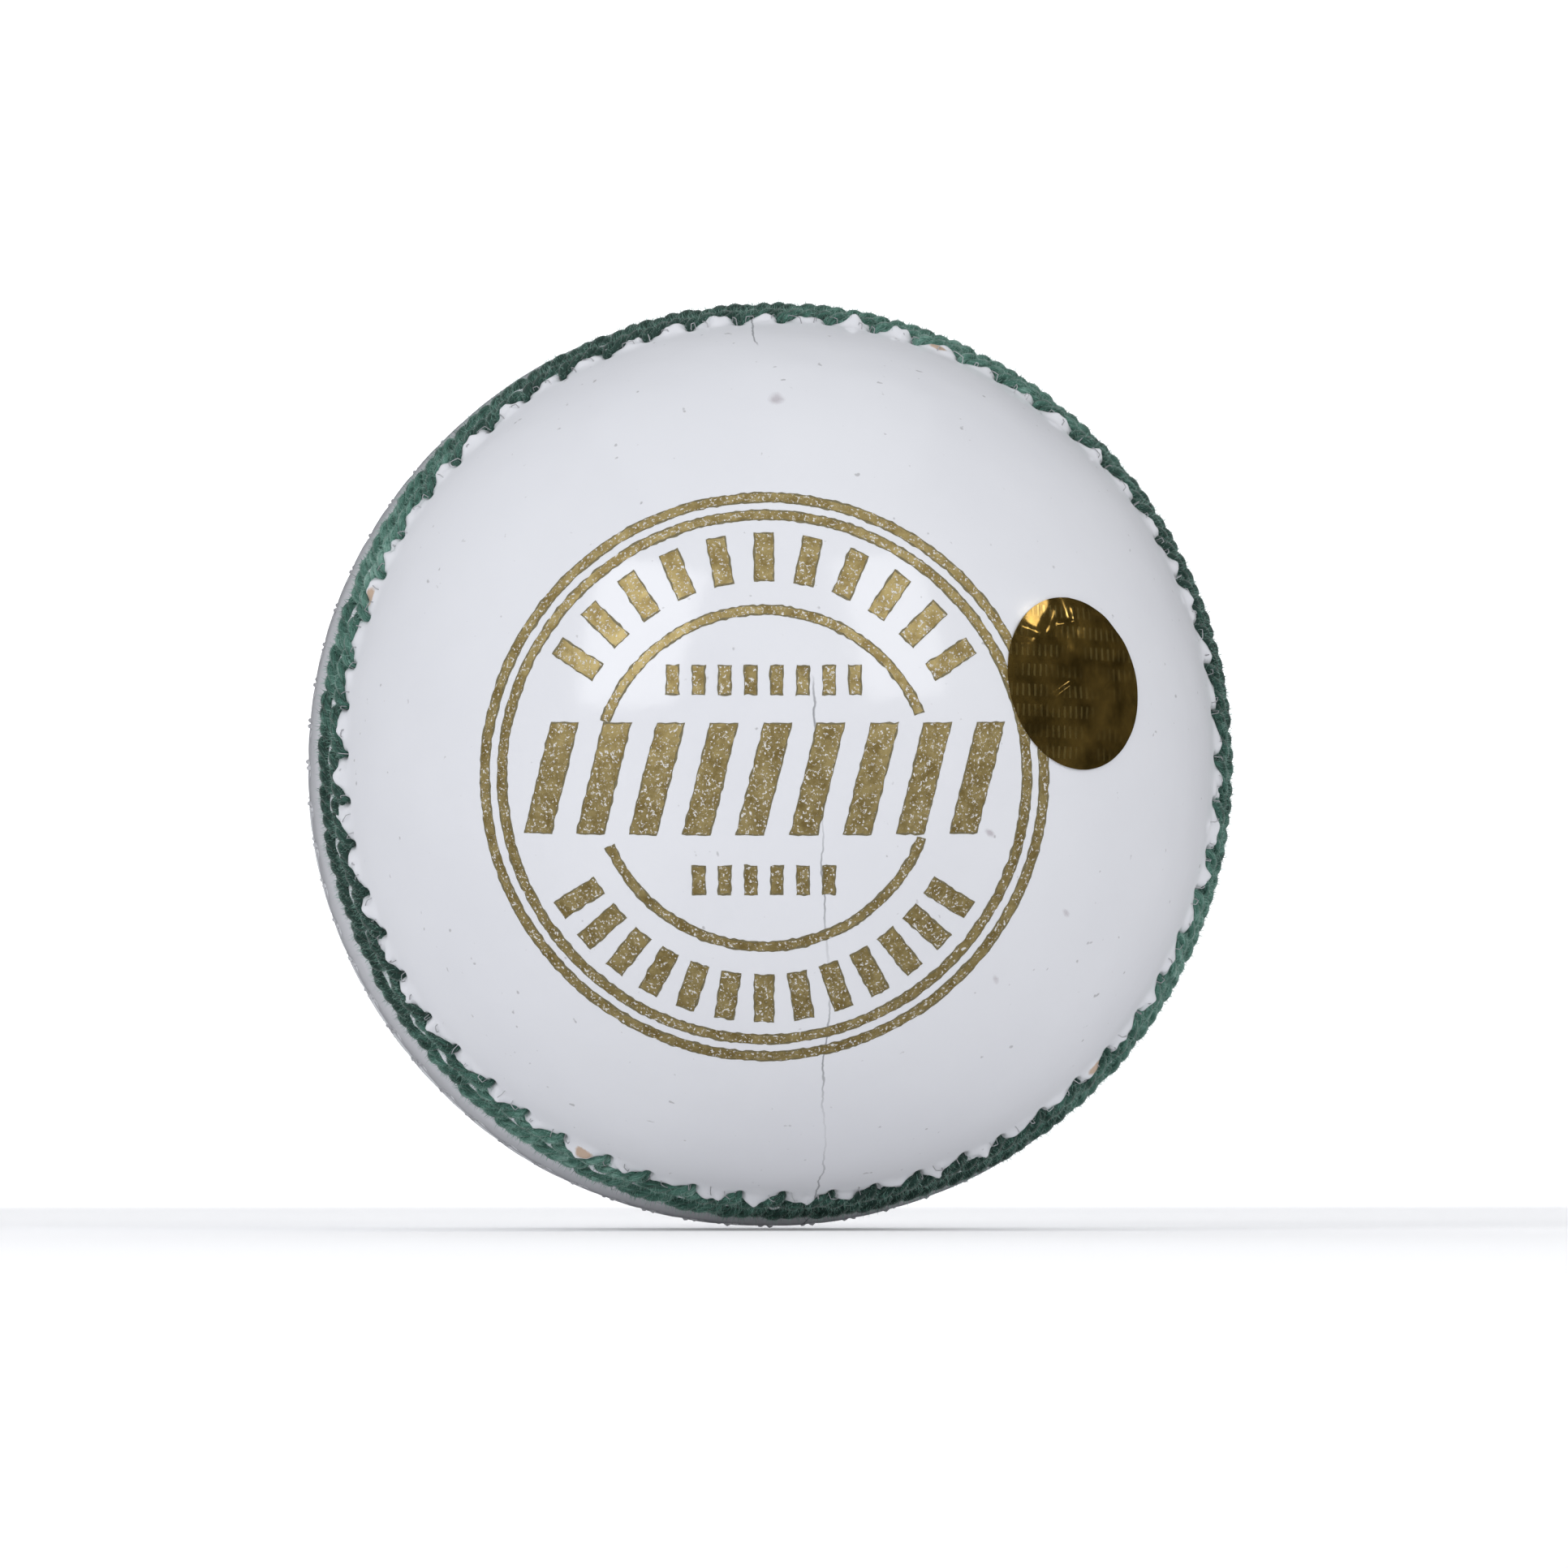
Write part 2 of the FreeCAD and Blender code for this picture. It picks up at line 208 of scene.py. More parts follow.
# %% [markdown]
# ## Colours and node helpers
#
# Colours are picked as sRGB hex values, as on a paint chart, and one function turns
# them to the linear numbers that a renderer adds up. One small function adds any node
# with its settings and links, so that a material reads like a recipe.

# %% Colour and node helpers
# the kinds of node that are used most
MATH = "ShaderNodeMath"
VECTOR_MATH = "ShaderNodeVectorMath"
NOISE = "ShaderNodeTexNoise"
MIX = "ShaderNodeMix"
BUMP = "ShaderNodeBump"
RANGE = "ShaderNodeMapRange"
SHADER = "ShaderNodeBsdfPrincipled"
OUTPUT = "ShaderNodeOutputMaterial"
PLACE = "ShaderNodeTexCoord"
MARK = "ShaderNodeAttribute"
JOIN = "ShaderNodeCombineXYZ"
HOLD = "GeometryNodeCaptureAttribute"
STORE = "GeometryNodeStoreNamedAttribute"
CHANCE = "FunctionNodeRandomValue"


def linear(hex_value):
    channels = [int(hex_value[k:k + 2], 16) / 255.0 for k in (1, 3, 5)]
    return [c / 12.92 if c <= 0.04045 else ((c + 0.055) / 1.055) ** 2.4 for c in channels] + [1.0]


def socket(sockets, key):
    if isinstance(key, int):
        return sockets[key]
    named = [s for s in sockets if s.name == key]
    return next((s for s in named if s.enabled), named[0])


def add(tree, kind, *inputs, **settings):
    """Add a node. Inputs come in order, or by name in a dict; None leaves one alone."""
    node = tree.nodes.new(kind)
    for key, value in settings.items():
        setattr(node, key, value)
    pairs = []
    for place, value in enumerate(inputs):
        pairs.extend(value.items() if isinstance(value, dict) else [(place, value)])
    for key, value in pairs:
        if value is None:
            continue
        if isinstance(value, bpy.types.Node):
            value = next(s for s in value.outputs if s.enabled)
        if isinstance(value, bpy.types.NodeSocket):
            tree.links.new(value, socket(node.inputs, key))
        else:
            socket(node.inputs, key).default_value = value
    return node


def new_material(name):
    material = bpy.data.materials.new(name)
    material.use_nodes = True
    material.node_tree.nodes.clear()
    return material, material.node_tree


def per_mm(size):
    """Texture scale for a pattern whose detail repeats every so many millimetres."""
    return 1.0 / (size * MM)


def smooth_mesh(name, points, faces, material, sharp_angle, merged):
    """A smooth mesh from points in mm, with sharp edges past an angle in degrees."""
    mesh = bpy.data.meshes.new(name)
    mesh.from_pydata((points * MM).tolist(), [], faces)
    mesh.update()
    if merged:
        # the two ends of a full ring are joined, and every face is pointed outwards
        work = bmesh.new()
        work.from_mesh(mesh)
        bmesh.ops.remove_doubles(work, verts=work.verts, dist=0.0005 * MM)
        bmesh.ops.recalc_face_normals(work, faces=work.faces)
        work.to_mesh(mesh)
        work.free()
    mesh.polygons.foreach_set("use_smooth", np.ones(len(mesh.polygons), bool))
    mesh.set_sharp_from_angle(angle=math.radians(sharp_angle))
    mesh.materials.append(material)
    return mesh


def kept(name, mesh):
    """Put a finished mesh in the scene as a piece at the origin."""
    piece = bpy.data.objects.new(name, mesh)
    bpy.context.scene.collection.objects.link(piece)
    print(name, len(mesh.polygons), "faces")
    return piece


# %% [markdown]
# ## Painted leather
#
# The cover is alum-tanned cowhide under a white nitrocellulose finish. The finish fills
# the pores, so the eye sees a clear gloss, a low swell left from the hide, fine grain and
# specks of dirt from handling. The gloss comes from the finish: IOR 1.5 and a roughness
# between 0.10 and 0.16. What belongs to one place, such as the painted shade in a stitch
# hole or a scuff, is stored on the mesh as an attribute, because a texture can't know about it.

# %% White finished leather
def make_leather():
    material, tree = new_material("white_nitro_finished_leather")
    place = add(tree, PLACE).outputs["Object"]
    # this attribute carries the painted shade of the stitch holes and the joint groove
    recess_shade = add(tree, MARK, attribute_name="recess_shade").outputs["Fac"]
    raw = add(tree, MARK, attribute_name="raw").outputs["Fac"]
    scuff = add(tree, MARK, attribute_name="scuff").outputs["Fac"]
    seam_open_here = add(tree, MARK, attribute_name="seam_open").outputs["Fac"]
    seam_away = add(tree, MARK, attribute_name="seam_gap").outputs["Fac"]
    hide = add(tree, NOISE, {"Vector": place, "Scale": per_mm(14.0), "Detail": 3.0})
    fine = add(tree, NOISE, {"Vector": place, "Scale": per_mm(0.35), "Detail": 4.0, "Roughness": 0.65})
    grain = add(
        tree, "ShaderNodeTexVoronoi", {"Vector": place, "Scale": per_mm(0.5)}, feature="SMOOTH_F1"
    )
    swell = add(tree, NOISE, {"Vector": place, "Scale": per_mm(3.2), "Detail": 2.0})
    dirt = add(tree, NOISE, {"Vector": place, "Scale": per_mm(0.75), "Detail": 1.5})

    tone = add(tree, MIX, hide, None, {6: linear("#dfe0e5"), 7: linear("#e9eaee")}, data_type="RGBA")
    speck = add(tree, RANGE, dirt, 0.735, 0.79, 0.0, 0.5)
    specked = add(tree, MIX, speck, None, {6: tone, 7: linear("#8d8a8c")}, data_type="RGBA")
    torn_edge = add(tree, MATH, fine, 0.9, 0.55, operation="MULTIPLY_ADD")
    # painted shade: the stitch holes and the joint groove are coloured a dark green-grey
    recess_shade_edge = add(tree, MATH, recess_shade, torn_edge, operation="MULTIPLY")
    recess_shade_mask = add(tree, RANGE, recess_shade_edge, 0.12, 0.85, 0.0, 0.92)
    recess_shaded = add(tree, MIX, recess_shade_mask, None, {6: specked, 7: linear("#263a33")}, data_type="RGBA")
    scuff_edge = add(tree, MATH, scuff, torn_edge, operation="MULTIPLY")
    scuff_mask = add(tree, RANGE, scuff_edge, 0.3, 0.8, 0.0, 0.55)
    scuffed = add(tree, MIX, scuff_mask, None, {6: recess_shaded, 7: linear("#a0949b")}, data_type="RGBA")
    raw_edge = add(tree, MATH, raw, torn_edge, operation="MULTIPLY")
    raw_mask = add(tree, RANGE, raw_edge, 0.35, 0.6, 0.0, 1.0)
    torn = add(tree, MIX, raw_mask, None, {6: scuffed, 7: linear("#c4ad9a")}, data_type="RGBA")
    strolling = add(
        tree, NOISE, {"Vector": place, "Scale": per_mm(9.0), "Detail": 5.0, "Roughness": 0.6}
    )
    wiggle = add(tree, MATH, strolling, 2.4, -1.2, operation="MULTIPLY_ADD")
    from_line = add(tree, MATH, seam_away, wiggle, operation="ADD")
    from_line = add(tree, MATH, from_line, operation="ABSOLUTE")
    line = add(tree, RANGE, from_line, 0.035, 0.1, 0.75, 0.0)
    crack_mask = add(tree, MATH, line, seam_open_here, operation="MULTIPLY")
    colour = add(tree, MIX, crack_mask, None, {6: torn, 7: linear("#77787c")}, data_type="RGBA")

    rough = add(tree, RANGE, fine, 0.3, 0.7, 0.1, 0.16)
    rough_holes = add(tree, MATH, recess_shade_mask, 0.4, rough, operation="MULTIPLY_ADD")
    low = add(tree, BUMP, {"Strength": 1.0, "Distance": 0.016 * MM, "Height": swell})
    pores = add(tree, BUMP, {"Strength": 1.0, "Distance": 0.002 * MM, "Height": grain, "Normal": low})
    skin = add(tree, BUMP, {"Strength": 1.0, "Distance": 0.002 * MM, "Height": fine, "Normal": pores})
    shader = add(
        tree, SHADER, {"Base Color": colour, "Roughness": rough_holes, "IOR": 1.5, "Normal": skin}
    )
    add(tree, OUTPUT, shader)
    return material


leather = make_leather()
print("material", leather.name)

# %% [markdown]
# ## One leather quarter
#
# A quarter is a thick lune: its outer face carries all the work of the needle, and its
# inner face lies on the wound core. The outer face is a grid, close where the stitches
# are and open over the crown, because the puckers need about five points across a
# millimetre and the crown is nearly a plain sphere. The inner face is coarse, and two
# flat walls close the shell at the joint and at the quarter seam.

# %% Grid rows and columns of a quarter
columns = 520
inner_columns = 40
rows_near_joint = np.arange(0.0, 15.6, 0.2)
rows_to_crown = np.linspace(15.6, quarter_arc, 46)[:-1]
skin_rows = np.concatenate([rows_near_joint, rows_to_crown])
inner_rows = np.linspace(0.0, quarter_arc, 14)[:-1]
print("rows", len(skin_rows), "columns", columns)


# %% Small marks of handling, as place and size in mm
def spot_strength(unit, spots):
    """How strongly each place is covered by round spots given as (turn, lift, size)."""
    strength = np.zeros(unit.shape[:-1])
    for turn, lift, size in spots:
        a = math.radians(turn)
        e = math.radians(lift)
        centre = np.array([math.sin(a) * math.cos(e), -math.cos(a) * math.cos(e), math.sin(e)])
        gap = np.linalg.norm(unit - centre, axis=-1) * leather_radius
        strength = np.maximum(strength, np.exp(-((gap / size) ** 2)))
    return strength


scuffs = [
    (-4.0, 46.5, 0.7),
    (27.0, -29.0, 0.3),
    (36.0, -20.5, 0.3),
    (-1.5, -15.0, 0.25),
    (22.0, -11.0, 0.3),
]
raw_places = [7, 19, 33, 48]
raw_place_out = 13.2
stamped_seam_turn, plain_seam_turn = 94.5, -4.5


def seam_gap(unit, seam_turn):
    """Signed distance in mm from the plane of a cup's quarter seam."""
    a = math.radians(seam_turn)
    return unit @ np.array([-math.sin(a), 0.0, math.cos(a)]) * leather_radius


def seam_open(unit):
    """Where the finish has opened over the quarter seam: below, and a little at the top."""
    height = unit[..., 2]
    below = 0.6 + 0.4 * np.sin(height * 19.0 + 1.0)
    return np.where(height < 0.12, below, np.where(height > 0.86, 0.9, 0.0))


def raw_leather(out, turn):
    """Where the finish has torn off beside a stitch and the tan hide shows."""
    pitch = 2.0 * math.pi / stitch_count
    bare = np.zeros_like(out)
    for number in raw_places:
        angle = np.angle(np.exp(1j * (turn + (number + 0.45) * pitch)))
        away = angle * leather_radius * np.cos(out / leather_radius)
        bare = np.maximum(bare, np.exp(-((away / 0.8) ** 2) - (((out - raw_place_out) / 0.38) ** 2)))
    return bare


# %% Mesh of one quarter
def grid_faces(row_count, column_count, start, flip):
    """Quads of a grid of points laid row by row."""
    r, c = np.meshgrid(np.arange(row_count - 1), np.arange(column_count), indexing="ij")
    low = start + r * (column_count + 1) + c
    quads = np.stack([low, low + 1, low + column_count + 2, low + column_count + 1], -1).reshape(-1, 4)
    return (quads[:, ::-1] if flip else quads).tolist()


def make_quarter(name, first_turn, seed, other_cup, marks):
    """A closed leather quarter that runs half a turn from first_turn, in degrees."""
    turns = np.radians(first_turn + np.linspace(0.0, 180.0, columns + 1))
    out, turn = np.meshgrid(skin_rows, turns, indexing="ij")
    radius, dark = worked_leather(out, turn, seed)
    unit = direction(out, turn)
    skin = (unit * radius[..., None]).reshape(-1, 3)
    inner_turns = np.radians(first_turn + np.linspace(0.0, 180.0, inner_columns + 1))
    inner_out, inner_turn = np.meshgrid(inner_rows, inner_turns, indexing="ij")
    inner = (direction(inner_out, inner_turn) * (leather_radius - leather_thickness)).reshape(-1, 3)
    crown = np.array([[0.0, -float(smooth_leather(np.array([0.0, -1.0, 0.0]))), 0.0]])
    inner_crown = np.array([[0.0, -(leather_radius - leather_thickness), 0.0]])
    points = np.concatenate([skin, inner, crown, inner_crown])
    skin_count, inner_start = len(skin), len(skin)
    crown_at = inner_start + len(inner)
    wide, inner_wide = columns + 1, inner_columns + 1

    faces = grid_faces(len(skin_rows), columns, 0, False)
    faces += grid_faces(len(inner_rows), inner_columns, inner_start, True)
    last = (len(skin_rows) - 1) * wide
    inner_last = inner_start + (len(inner_rows) - 1) * inner_wide
    faces += [[last + c, last + c + 1, crown_at] for c in range(columns)]
    faces += [[inner_last + c + 1, inner_last + c, crown_at + 1] for c in range(inner_columns)]
    joint_wall = list(range(wide))[::-1] + [inner_start + c for c in range(inner_wide)]
    faces.append(joint_wall)
    rise = [r * wide for r in range(len(skin_rows))]
    fall = [r * wide + columns for r in range(len(skin_rows))][::-1]
    inner_rise = [inner_start + r * inner_wide + inner_columns for r in range(len(inner_rows))]
    inner_fall = [inner_start + r * inner_wide for r in range(len(inner_rows))][::-1]
    faces.append(rise + [crown_at] + fall + inner_rise + [crown_at + 1] + inner_fall)

    if other_cup:
        points = points * np.array([1.0, -1.0, -1.0])
    mesh = smooth_mesh(name, points, faces, leather, 62.0, False)
    values = {
        # painted shade of the holes and the joint groove, kept for the leather's colour
        "recess_shade": dark,
        "raw": raw_leather(out, turn) if marks else np.zeros_like(out),
        "scuff": spot_strength(unit, scuffs) if marks else np.zeros_like(out),
        "seam_open": seam_open(unit),
        "seam_gap": seam_gap(unit, plain_seam_turn if other_cup else stamped_seam_turn),
    }
    for key, value in values.items():
        layer = mesh.attributes.new(key, "FLOAT", "POINT")
        full = np.zeros(len(points), np.float32)
        full[:skin_count] = value.reshape(-1)
        layer.data.foreach_set("value", full)
    return kept(name, mesh)


# %% The four quarters
quarters = {
    "stamped_quarter_right": make_quarter(
        "leather_stamped_right", stamped_seam_turn - 180.0, 0.0, False, True
    ),
    "stamped_quarter_left": make_quarter("leather_stamped_left", stamped_seam_turn, 0.0, False, True),
    "plain_quarter_upper": make_quarter("leather_plain_upper", plain_seam_turn + 180.0, 5.0, True, False),
    "plain_quarter_lower": make_quarter("leather_plain_lower", plain_seam_turn, 5.0, True, False),
}
for node_name, piece in quarters.items():
    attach(piece, "root")
    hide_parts(node_name)

# %% [markdown]
# ## The sewing thread
#
# The rows are sewn with waxed green linen, several yarns twisted into one. Each stitch
# could be drawn by hand, but sixty of them round the ball follow one rule, so a
# Geometry Nodes tree is the natural maker: one strand is duplicated, bent along its
# stitch, wound round the stitch's middle line with its sister strands, and given a
# round section. Loose fibres are scattered over it as thin cones. Named inputs hold
# the sizes, so the same tree sews the outer rows, the inner rows and, with thinner
# thread, the closing stitches across the joint. The thread is drawn a little fuller
# than the frame has it, because a plied strand has hollows between its plies.

# %% Waxed linen thread
def make_thread(name, dark, middle, light, roughness, sheen):
    """Plied thread: fibres run along each strand, so the noise is stretched that way."""
    material, tree = new_material(name)
    along = add(tree, MARK, attribute_name="strand").outputs["Vector"]
    shade = add(tree, MARK, attribute_name="shade").outputs["Fac"]
    place = add(tree, PLACE).outputs["Object"]
    fibre = add(tree, NOISE, {"Vector": along, "Scale": 7.0, "Detail": 4.0, "Roughness": 0.7})
    patch = add(tree, NOISE, {"Vector": place, "Scale": per_mm(1.6), "Detail": 3.0})
    spread = add(tree, MATH, patch, 0.4, operation="MULTIPLY")
    mixed = add(tree, MATH, fibre, 0.6, spread, operation="MULTIPLY_ADD")
    shaded = add(tree, MATH, shade, 0.22, mixed, operation="MULTIPLY_ADD")
    ramp = add(tree, "ShaderNodeValToRGB", shaded)
    ramp.color_ramp.elements[0].position = 0.44
    ramp.color_ramp.elements[0].color = linear(dark)
    ramp.color_ramp.elements[1].position = 0.76
    ramp.color_ramp.elements[1].color = linear(light)
    middle_stop = ramp.color_ramp.elements.new(0.6)
    middle_stop.color = linear(middle)
    twill = add(tree, BUMP, {"Strength": 1.0, "Distance": 0.09 * MM, "Height": fibre})
    fine = add(tree, NOISE, {"Vector": place, "Scale": per_mm(0.16), "Detail": 2.0})
    nap = add(tree, BUMP, {"Strength": 0.6, "Distance": 0.02 * MM, "Height": fine, "Normal": twill})
    shader = add(tree, SHADER, {"Base Color": ramp.outputs["Color"], "Normal": nap})
    shader.inputs["Roughness"].default_value = roughness
    shader.inputs["Sheen Weight"].default_value = sheen
    shader.inputs["Sheen Roughness"].default_value = 0.4
    shader.inputs["IOR"].default_value = 1.48
    add(tree, OUTPUT, shader)
    return material


green_thread = make_thread("waxed_green_linen_thread", "#1c4036", "#4a7c6d", "#96bdb0", 0.5, 0.4)
painted_thread = make_thread("white_coated_linen_thread", "#b9b9bd", "#dcdde1", "#eceded", 0.38, 0.0)
print("threads", green_thread.name, painted_thread.name)


# %% The tree that sews a row
# how late the thread dives: a higher power keeps it flat for longer
dive_power = 5.0
# real fibres are about 0.015 mm across; these are drawn as thick as they need to show
fibre_radius = 0.018
sewing_inputs = [
    ("Count", "NodeSocketInt"),
    ("Plies", "NodeSocketInt"),
    ("Points", "NodeSocketInt"),
    ("Place", "NodeSocketFloat"),
    ("Reach", "NodeSocketFloat"),
    ("Slant", "NodeSocketFloat"),
    ("Lag", "NodeSocketFloat"),
    ("Crest", "NodeSocketFloat"),
    ("Thread Radius", "NodeSocketFloat"),
    ("Leg Depth", "NodeSocketFloat"),
    ("Ball Radius", "NodeSocketFloat"),
    ("Twists", "NodeSocketFloat"),
    ("Wander", "NodeSocketFloat"),
    ("Seed", "NodeSocketFloat"),
    ("Fibres", "NodeSocketFloat"),
    ("Fibre Length", "NodeSocketFloat"),
    ("Thread", "NodeSocketMaterial"),
]


def make_sewing_tree():
    tree = bpy.data.node_groups.new("sewn_row", "GeometryNodeTree")
    tree.interface.new_socket("Geometry", in_out="OUTPUT", socket_type="NodeSocketGeometry")
    for name, kind in sewing_inputs:
        tree.interface.new_socket(name, in_out="INPUT", socket_type=kind)
    given = add(tree, "NodeGroupInput").outputs

    # one straight strand for each ply of each stitch
    line = add(tree, "GeometryNodeCurvePrimitiveLine", {"End": (1.0, 0.0, 0.0)})
    strand = add(tree, "GeometryNodeResampleCurve", {"Curve": line, "Count": given["Points"]})
    total = add(tree, MATH, given["Count"], given["Plies"], operation="MULTIPLY")
    copies = add(
        tree, "GeometryNodeDuplicateElements", {"Geometry": strand, "Amount": total}, domain="SPLINE"
    )
    copy_number = copies.outputs["Duplicate Index"]
    inside_copy = add(tree, MATH, copy_number, 0.25, operation="ADD")
    stitches_before = add(tree, MATH, inside_copy, given["Plies"], operation="DIVIDE")
    number = add(tree, MATH, stitches_before, operation="FLOOR")
    first_ply = add(tree, MATH, number, given["Plies"], operation="MULTIPLY")
    ply = add(tree, MATH, copy_number, first_ply, operation="SUBTRACT")
    share = add(tree, "GeometryNodeSplineParameter").outputs["Factor"]

    # the two holes of the stitch, with their wander
    wandering = {}
    for name, (rate, size, phase) in wander.items():
        beat = add(tree, MATH, number, rate, phase, operation="MULTIPLY_ADD")
        seeded = add(tree, MATH, beat, given["Seed"], operation="ADD")
        wave = add(tree, MATH, seeded, operation="SINE")
        sized = add(tree, MATH, wave, size, operation="MULTIPLY")
        wandering[name] = add(tree, MATH, sized, given["Wander"], operation="MULTIPLY")
    half_reach = add(tree, MATH, given["Reach"], 0.5, operation="MULTIPLY")
    even_start = add(tree, MATH, given["Place"], half_reach, operation="ADD")
    start_out = add(tree, MATH, even_start, wandering["start_out"], operation="ADD")
    even_end = add(tree, MATH, given["Place"], half_reach, operation="SUBTRACT")
    end_out = add(tree, MATH, even_end, wandering["end_out"], operation="ADD")
    end_along = add(tree, MATH, wandering["end_along"], given["Slant"], operation="SUBTRACT")

    # the way from hole to hole, flat on top and steep where it dives
    half_turn = add(tree, MATH, share, math.pi, operation="MULTIPLY")
    cosine = add(tree, MATH, half_turn, operation="COSINE")
    eased = add(tree, MATH, cosine, -0.5, 0.5, operation="MULTIPLY_ADD")
    run_out = add(tree, MATH, end_out, start_out, operation="SUBTRACT")
    out = add(tree, MATH, run_out, eased, start_out, operation="MULTIPLY_ADD")
    run_along = add(tree, MATH, end_along, wandering["start_along"], operation="SUBTRACT")
    along = add(tree, MATH, run_along, eased, wandering["start_along"], operation="MULTIPLY_ADD")
    swing = add(tree, MATH, share, 2.0, -1.0, operation="MULTIPLY_ADD")
    from_middle = add(tree, MATH, swing, operation="ABSOLUTE")
    dive = add(tree, MATH, from_middle, dive_power, operation="POWER")
    sink = add(tree, MATH, dive, given["Leg Depth"], operation="MULTIPLY")
    crest_middle = add(tree, MATH, given["Crest"], given["Thread Radius"], operation="SUBTRACT")
    lift = add(tree, MATH, crest_middle, sink, operation="SUBTRACT")

    # that way laid on the ball
    rise = add(tree, MATH, out, given["Ball Radius"], operation="DIVIDE")
    level = add(tree, MATH, rise, operation="COSINE")
    ring_radius = add(tree, MATH, level, given["Ball Radius"], operation="MULTIPLY")
    pitch = add(tree, MATH, 2.0 * math.pi, given["Count"], operation="DIVIDE")
    lagged = add(tree, MATH, number, given["Lag"], operation="ADD")
    steps = add(tree, MATH, lagged, pitch, operation="MULTIPLY")
    swept = add(tree, MATH, along, ring_radius, operation="DIVIDE")
    turn = add(tree, MATH, swept, steps, operation="SUBTRACT")
    turn_cosine = add(tree, MATH, turn, operation="COSINE")
    turn_sine = add(tree, MATH, turn, operation="SINE")
    rise_sine = add(tree, MATH, rise, operation="SINE")
    x = add(tree, MATH, level, turn_cosine, operation="MULTIPLY")
    y = add(tree, MATH, rise_sine, -1.0, operation="MULTIPLY")
    z = add(tree, MATH, level, turn_sine, operation="MULTIPLY")
    unit = add(tree, JOIN, x, y, z)
    height = add(tree, MATH, given["Ball Radius"], lift, operation="ADD")
    middle_line = add(tree, VECTOR_MATH, unit, {"Scale": height}, operation="SCALE")
    laid = add(tree, "GeometryNodeSetPosition", {"Geometry": copies, "Position": middle_line})

    # the plies wound round each other
    tangent = add(tree, "GeometryNodeInputTangent")
    here = add(tree, "GeometryNodeInputPosition")
    sideways = add(tree, VECTOR_MATH, tangent, here, operation="CROSS_PRODUCT")
    across = add(tree, VECTOR_MATH, sideways, operation="NORMALIZE")
    upward = add(tree, VECTOR_MATH, across, tangent, operation="CROSS_PRODUCT")
    ply_share = add(tree, MATH, ply, given["Plies"], operation="DIVIDE")
    twist = add(tree, MATH, share, given["Twists"], operation="MULTIPLY")
    place_in_twist = add(tree, MATH, ply_share, twist, operation="ADD")
    shifted = add(tree, MATH, number, 0.37, place_in_twist, operation="MULTIPLY_ADD")
    angle = add(tree, MATH, shifted, 2.0 * math.pi, operation="MULTIPLY")
    angle_cosine = add(tree, MATH, angle, operation="COSINE")
    angle_sine = add(tree, MATH, angle, operation="SINE")
    side_step = add(tree, VECTOR_MATH, across, {"Scale": angle_cosine}, operation="SCALE")
    up_step = add(tree, VECTOR_MATH, upward, {"Scale": angle_sine}, operation="SCALE")
    step = add(tree, VECTOR_MATH, side_step, up_step, operation="ADD")
    taper = add(tree, MATH, share, -0.14, 1.06, operation="MULTIPLY_ADD")
    half_radius = add(tree, MATH, given["Thread Radius"], 0.5, operation="MULTIPLY")
    twist_radius = add(tree, MATH, half_radius, taper, operation="MULTIPLY")
    offset = add(tree, VECTOR_MATH, step, {"Scale": twist_radius}, operation="SCALE")
    twisted = add(tree, "GeometryNodeSetPosition", {"Geometry": laid, "Offset": offset})

    # a round section, with each point's place on its strand kept for the thread's finish
    held_share = add(tree, HOLD, {"Geometry": twisted}, domain="POINT")
    held_share.capture_items.new("FLOAT", "share")
    tree.links.new(share, held_share.inputs[1])
    held_number = add(tree, HOLD, {"Geometry": held_share.outputs[0]}, domain="CURVE")
    held_number.capture_items.new("FLOAT", "number")
    tree.links.new(number.outputs[0], held_number.inputs[1])
    circle = add(tree, "GeometryNodeCurvePrimitiveCircle", {"Resolution": 6, "Radius": 1.0})
    held_round = add(tree, HOLD, {"Geometry": circle.outputs[0]}, domain="POINT")
    held_round.capture_items.new("VECTOR", "round")
    tree.links.new(add(tree, "GeometryNodeInputPosition").outputs[0], held_round.inputs[1])
    thick = add(tree, MATH, given["Thread Radius"], 0.54, operation="MULTIPLY")
    ply_radius = add(tree, MATH, thick, taper, operation="MULTIPLY")
    section = {"Curve": held_number.outputs[0], "Profile Curve": held_round.outputs[0]}
    tube = add(tree, "GeometryNodeCurveToMesh", section, {"Scale": ply_radius, "Fill Caps": True})
    spin = add(tree, MATH, held_share.outputs[1], -2.5 * math.pi, operation="MULTIPLY")
    spin_values = {"Vector": held_round.outputs[1], "Angle": spin}
    spun = add(tree, "ShaderNodeVectorRotate", spin_values, rotation_type="Z_AXIS")
    flat = add(tree, VECTOR_MATH, spun, (0.5, 0.5, 0.0), operation="MULTIPLY")
    far = add(tree, MATH, held_share.outputs[1], 1.2, held_number.outputs[1], operation="MULTIPLY_ADD")
    lengthwise = add(tree, JOIN, 0.0, 0.0, far)
    strand_place = add(tree, VECTOR_MATH, flat, lengthwise, operation="ADD")
    strand_values = {"Geometry": tube, "Name": "strand", "Value": strand_place}
    marked = add(tree, STORE, strand_values, data_type="FLOAT_VECTOR", domain="POINT")
    scattered = add(tree, MATH, held_number.outputs[1], 12.9898, operation="MULTIPLY")
    number_wave = add(tree, MATH, scattered, operation="SINE")
    stitch_shade = add(tree, MATH, number_wave, 0.5, operation="MULTIPLY")
    shade_values = {"Geometry": marked, "Name": "shade", "Value": stitch_shade}
    shaded = add(tree, STORE, shade_values, data_type="FLOAT", domain="POINT")
    smooth = add(tree, "GeometryNodeSetShadeSmooth", {"Geometry": shaded})

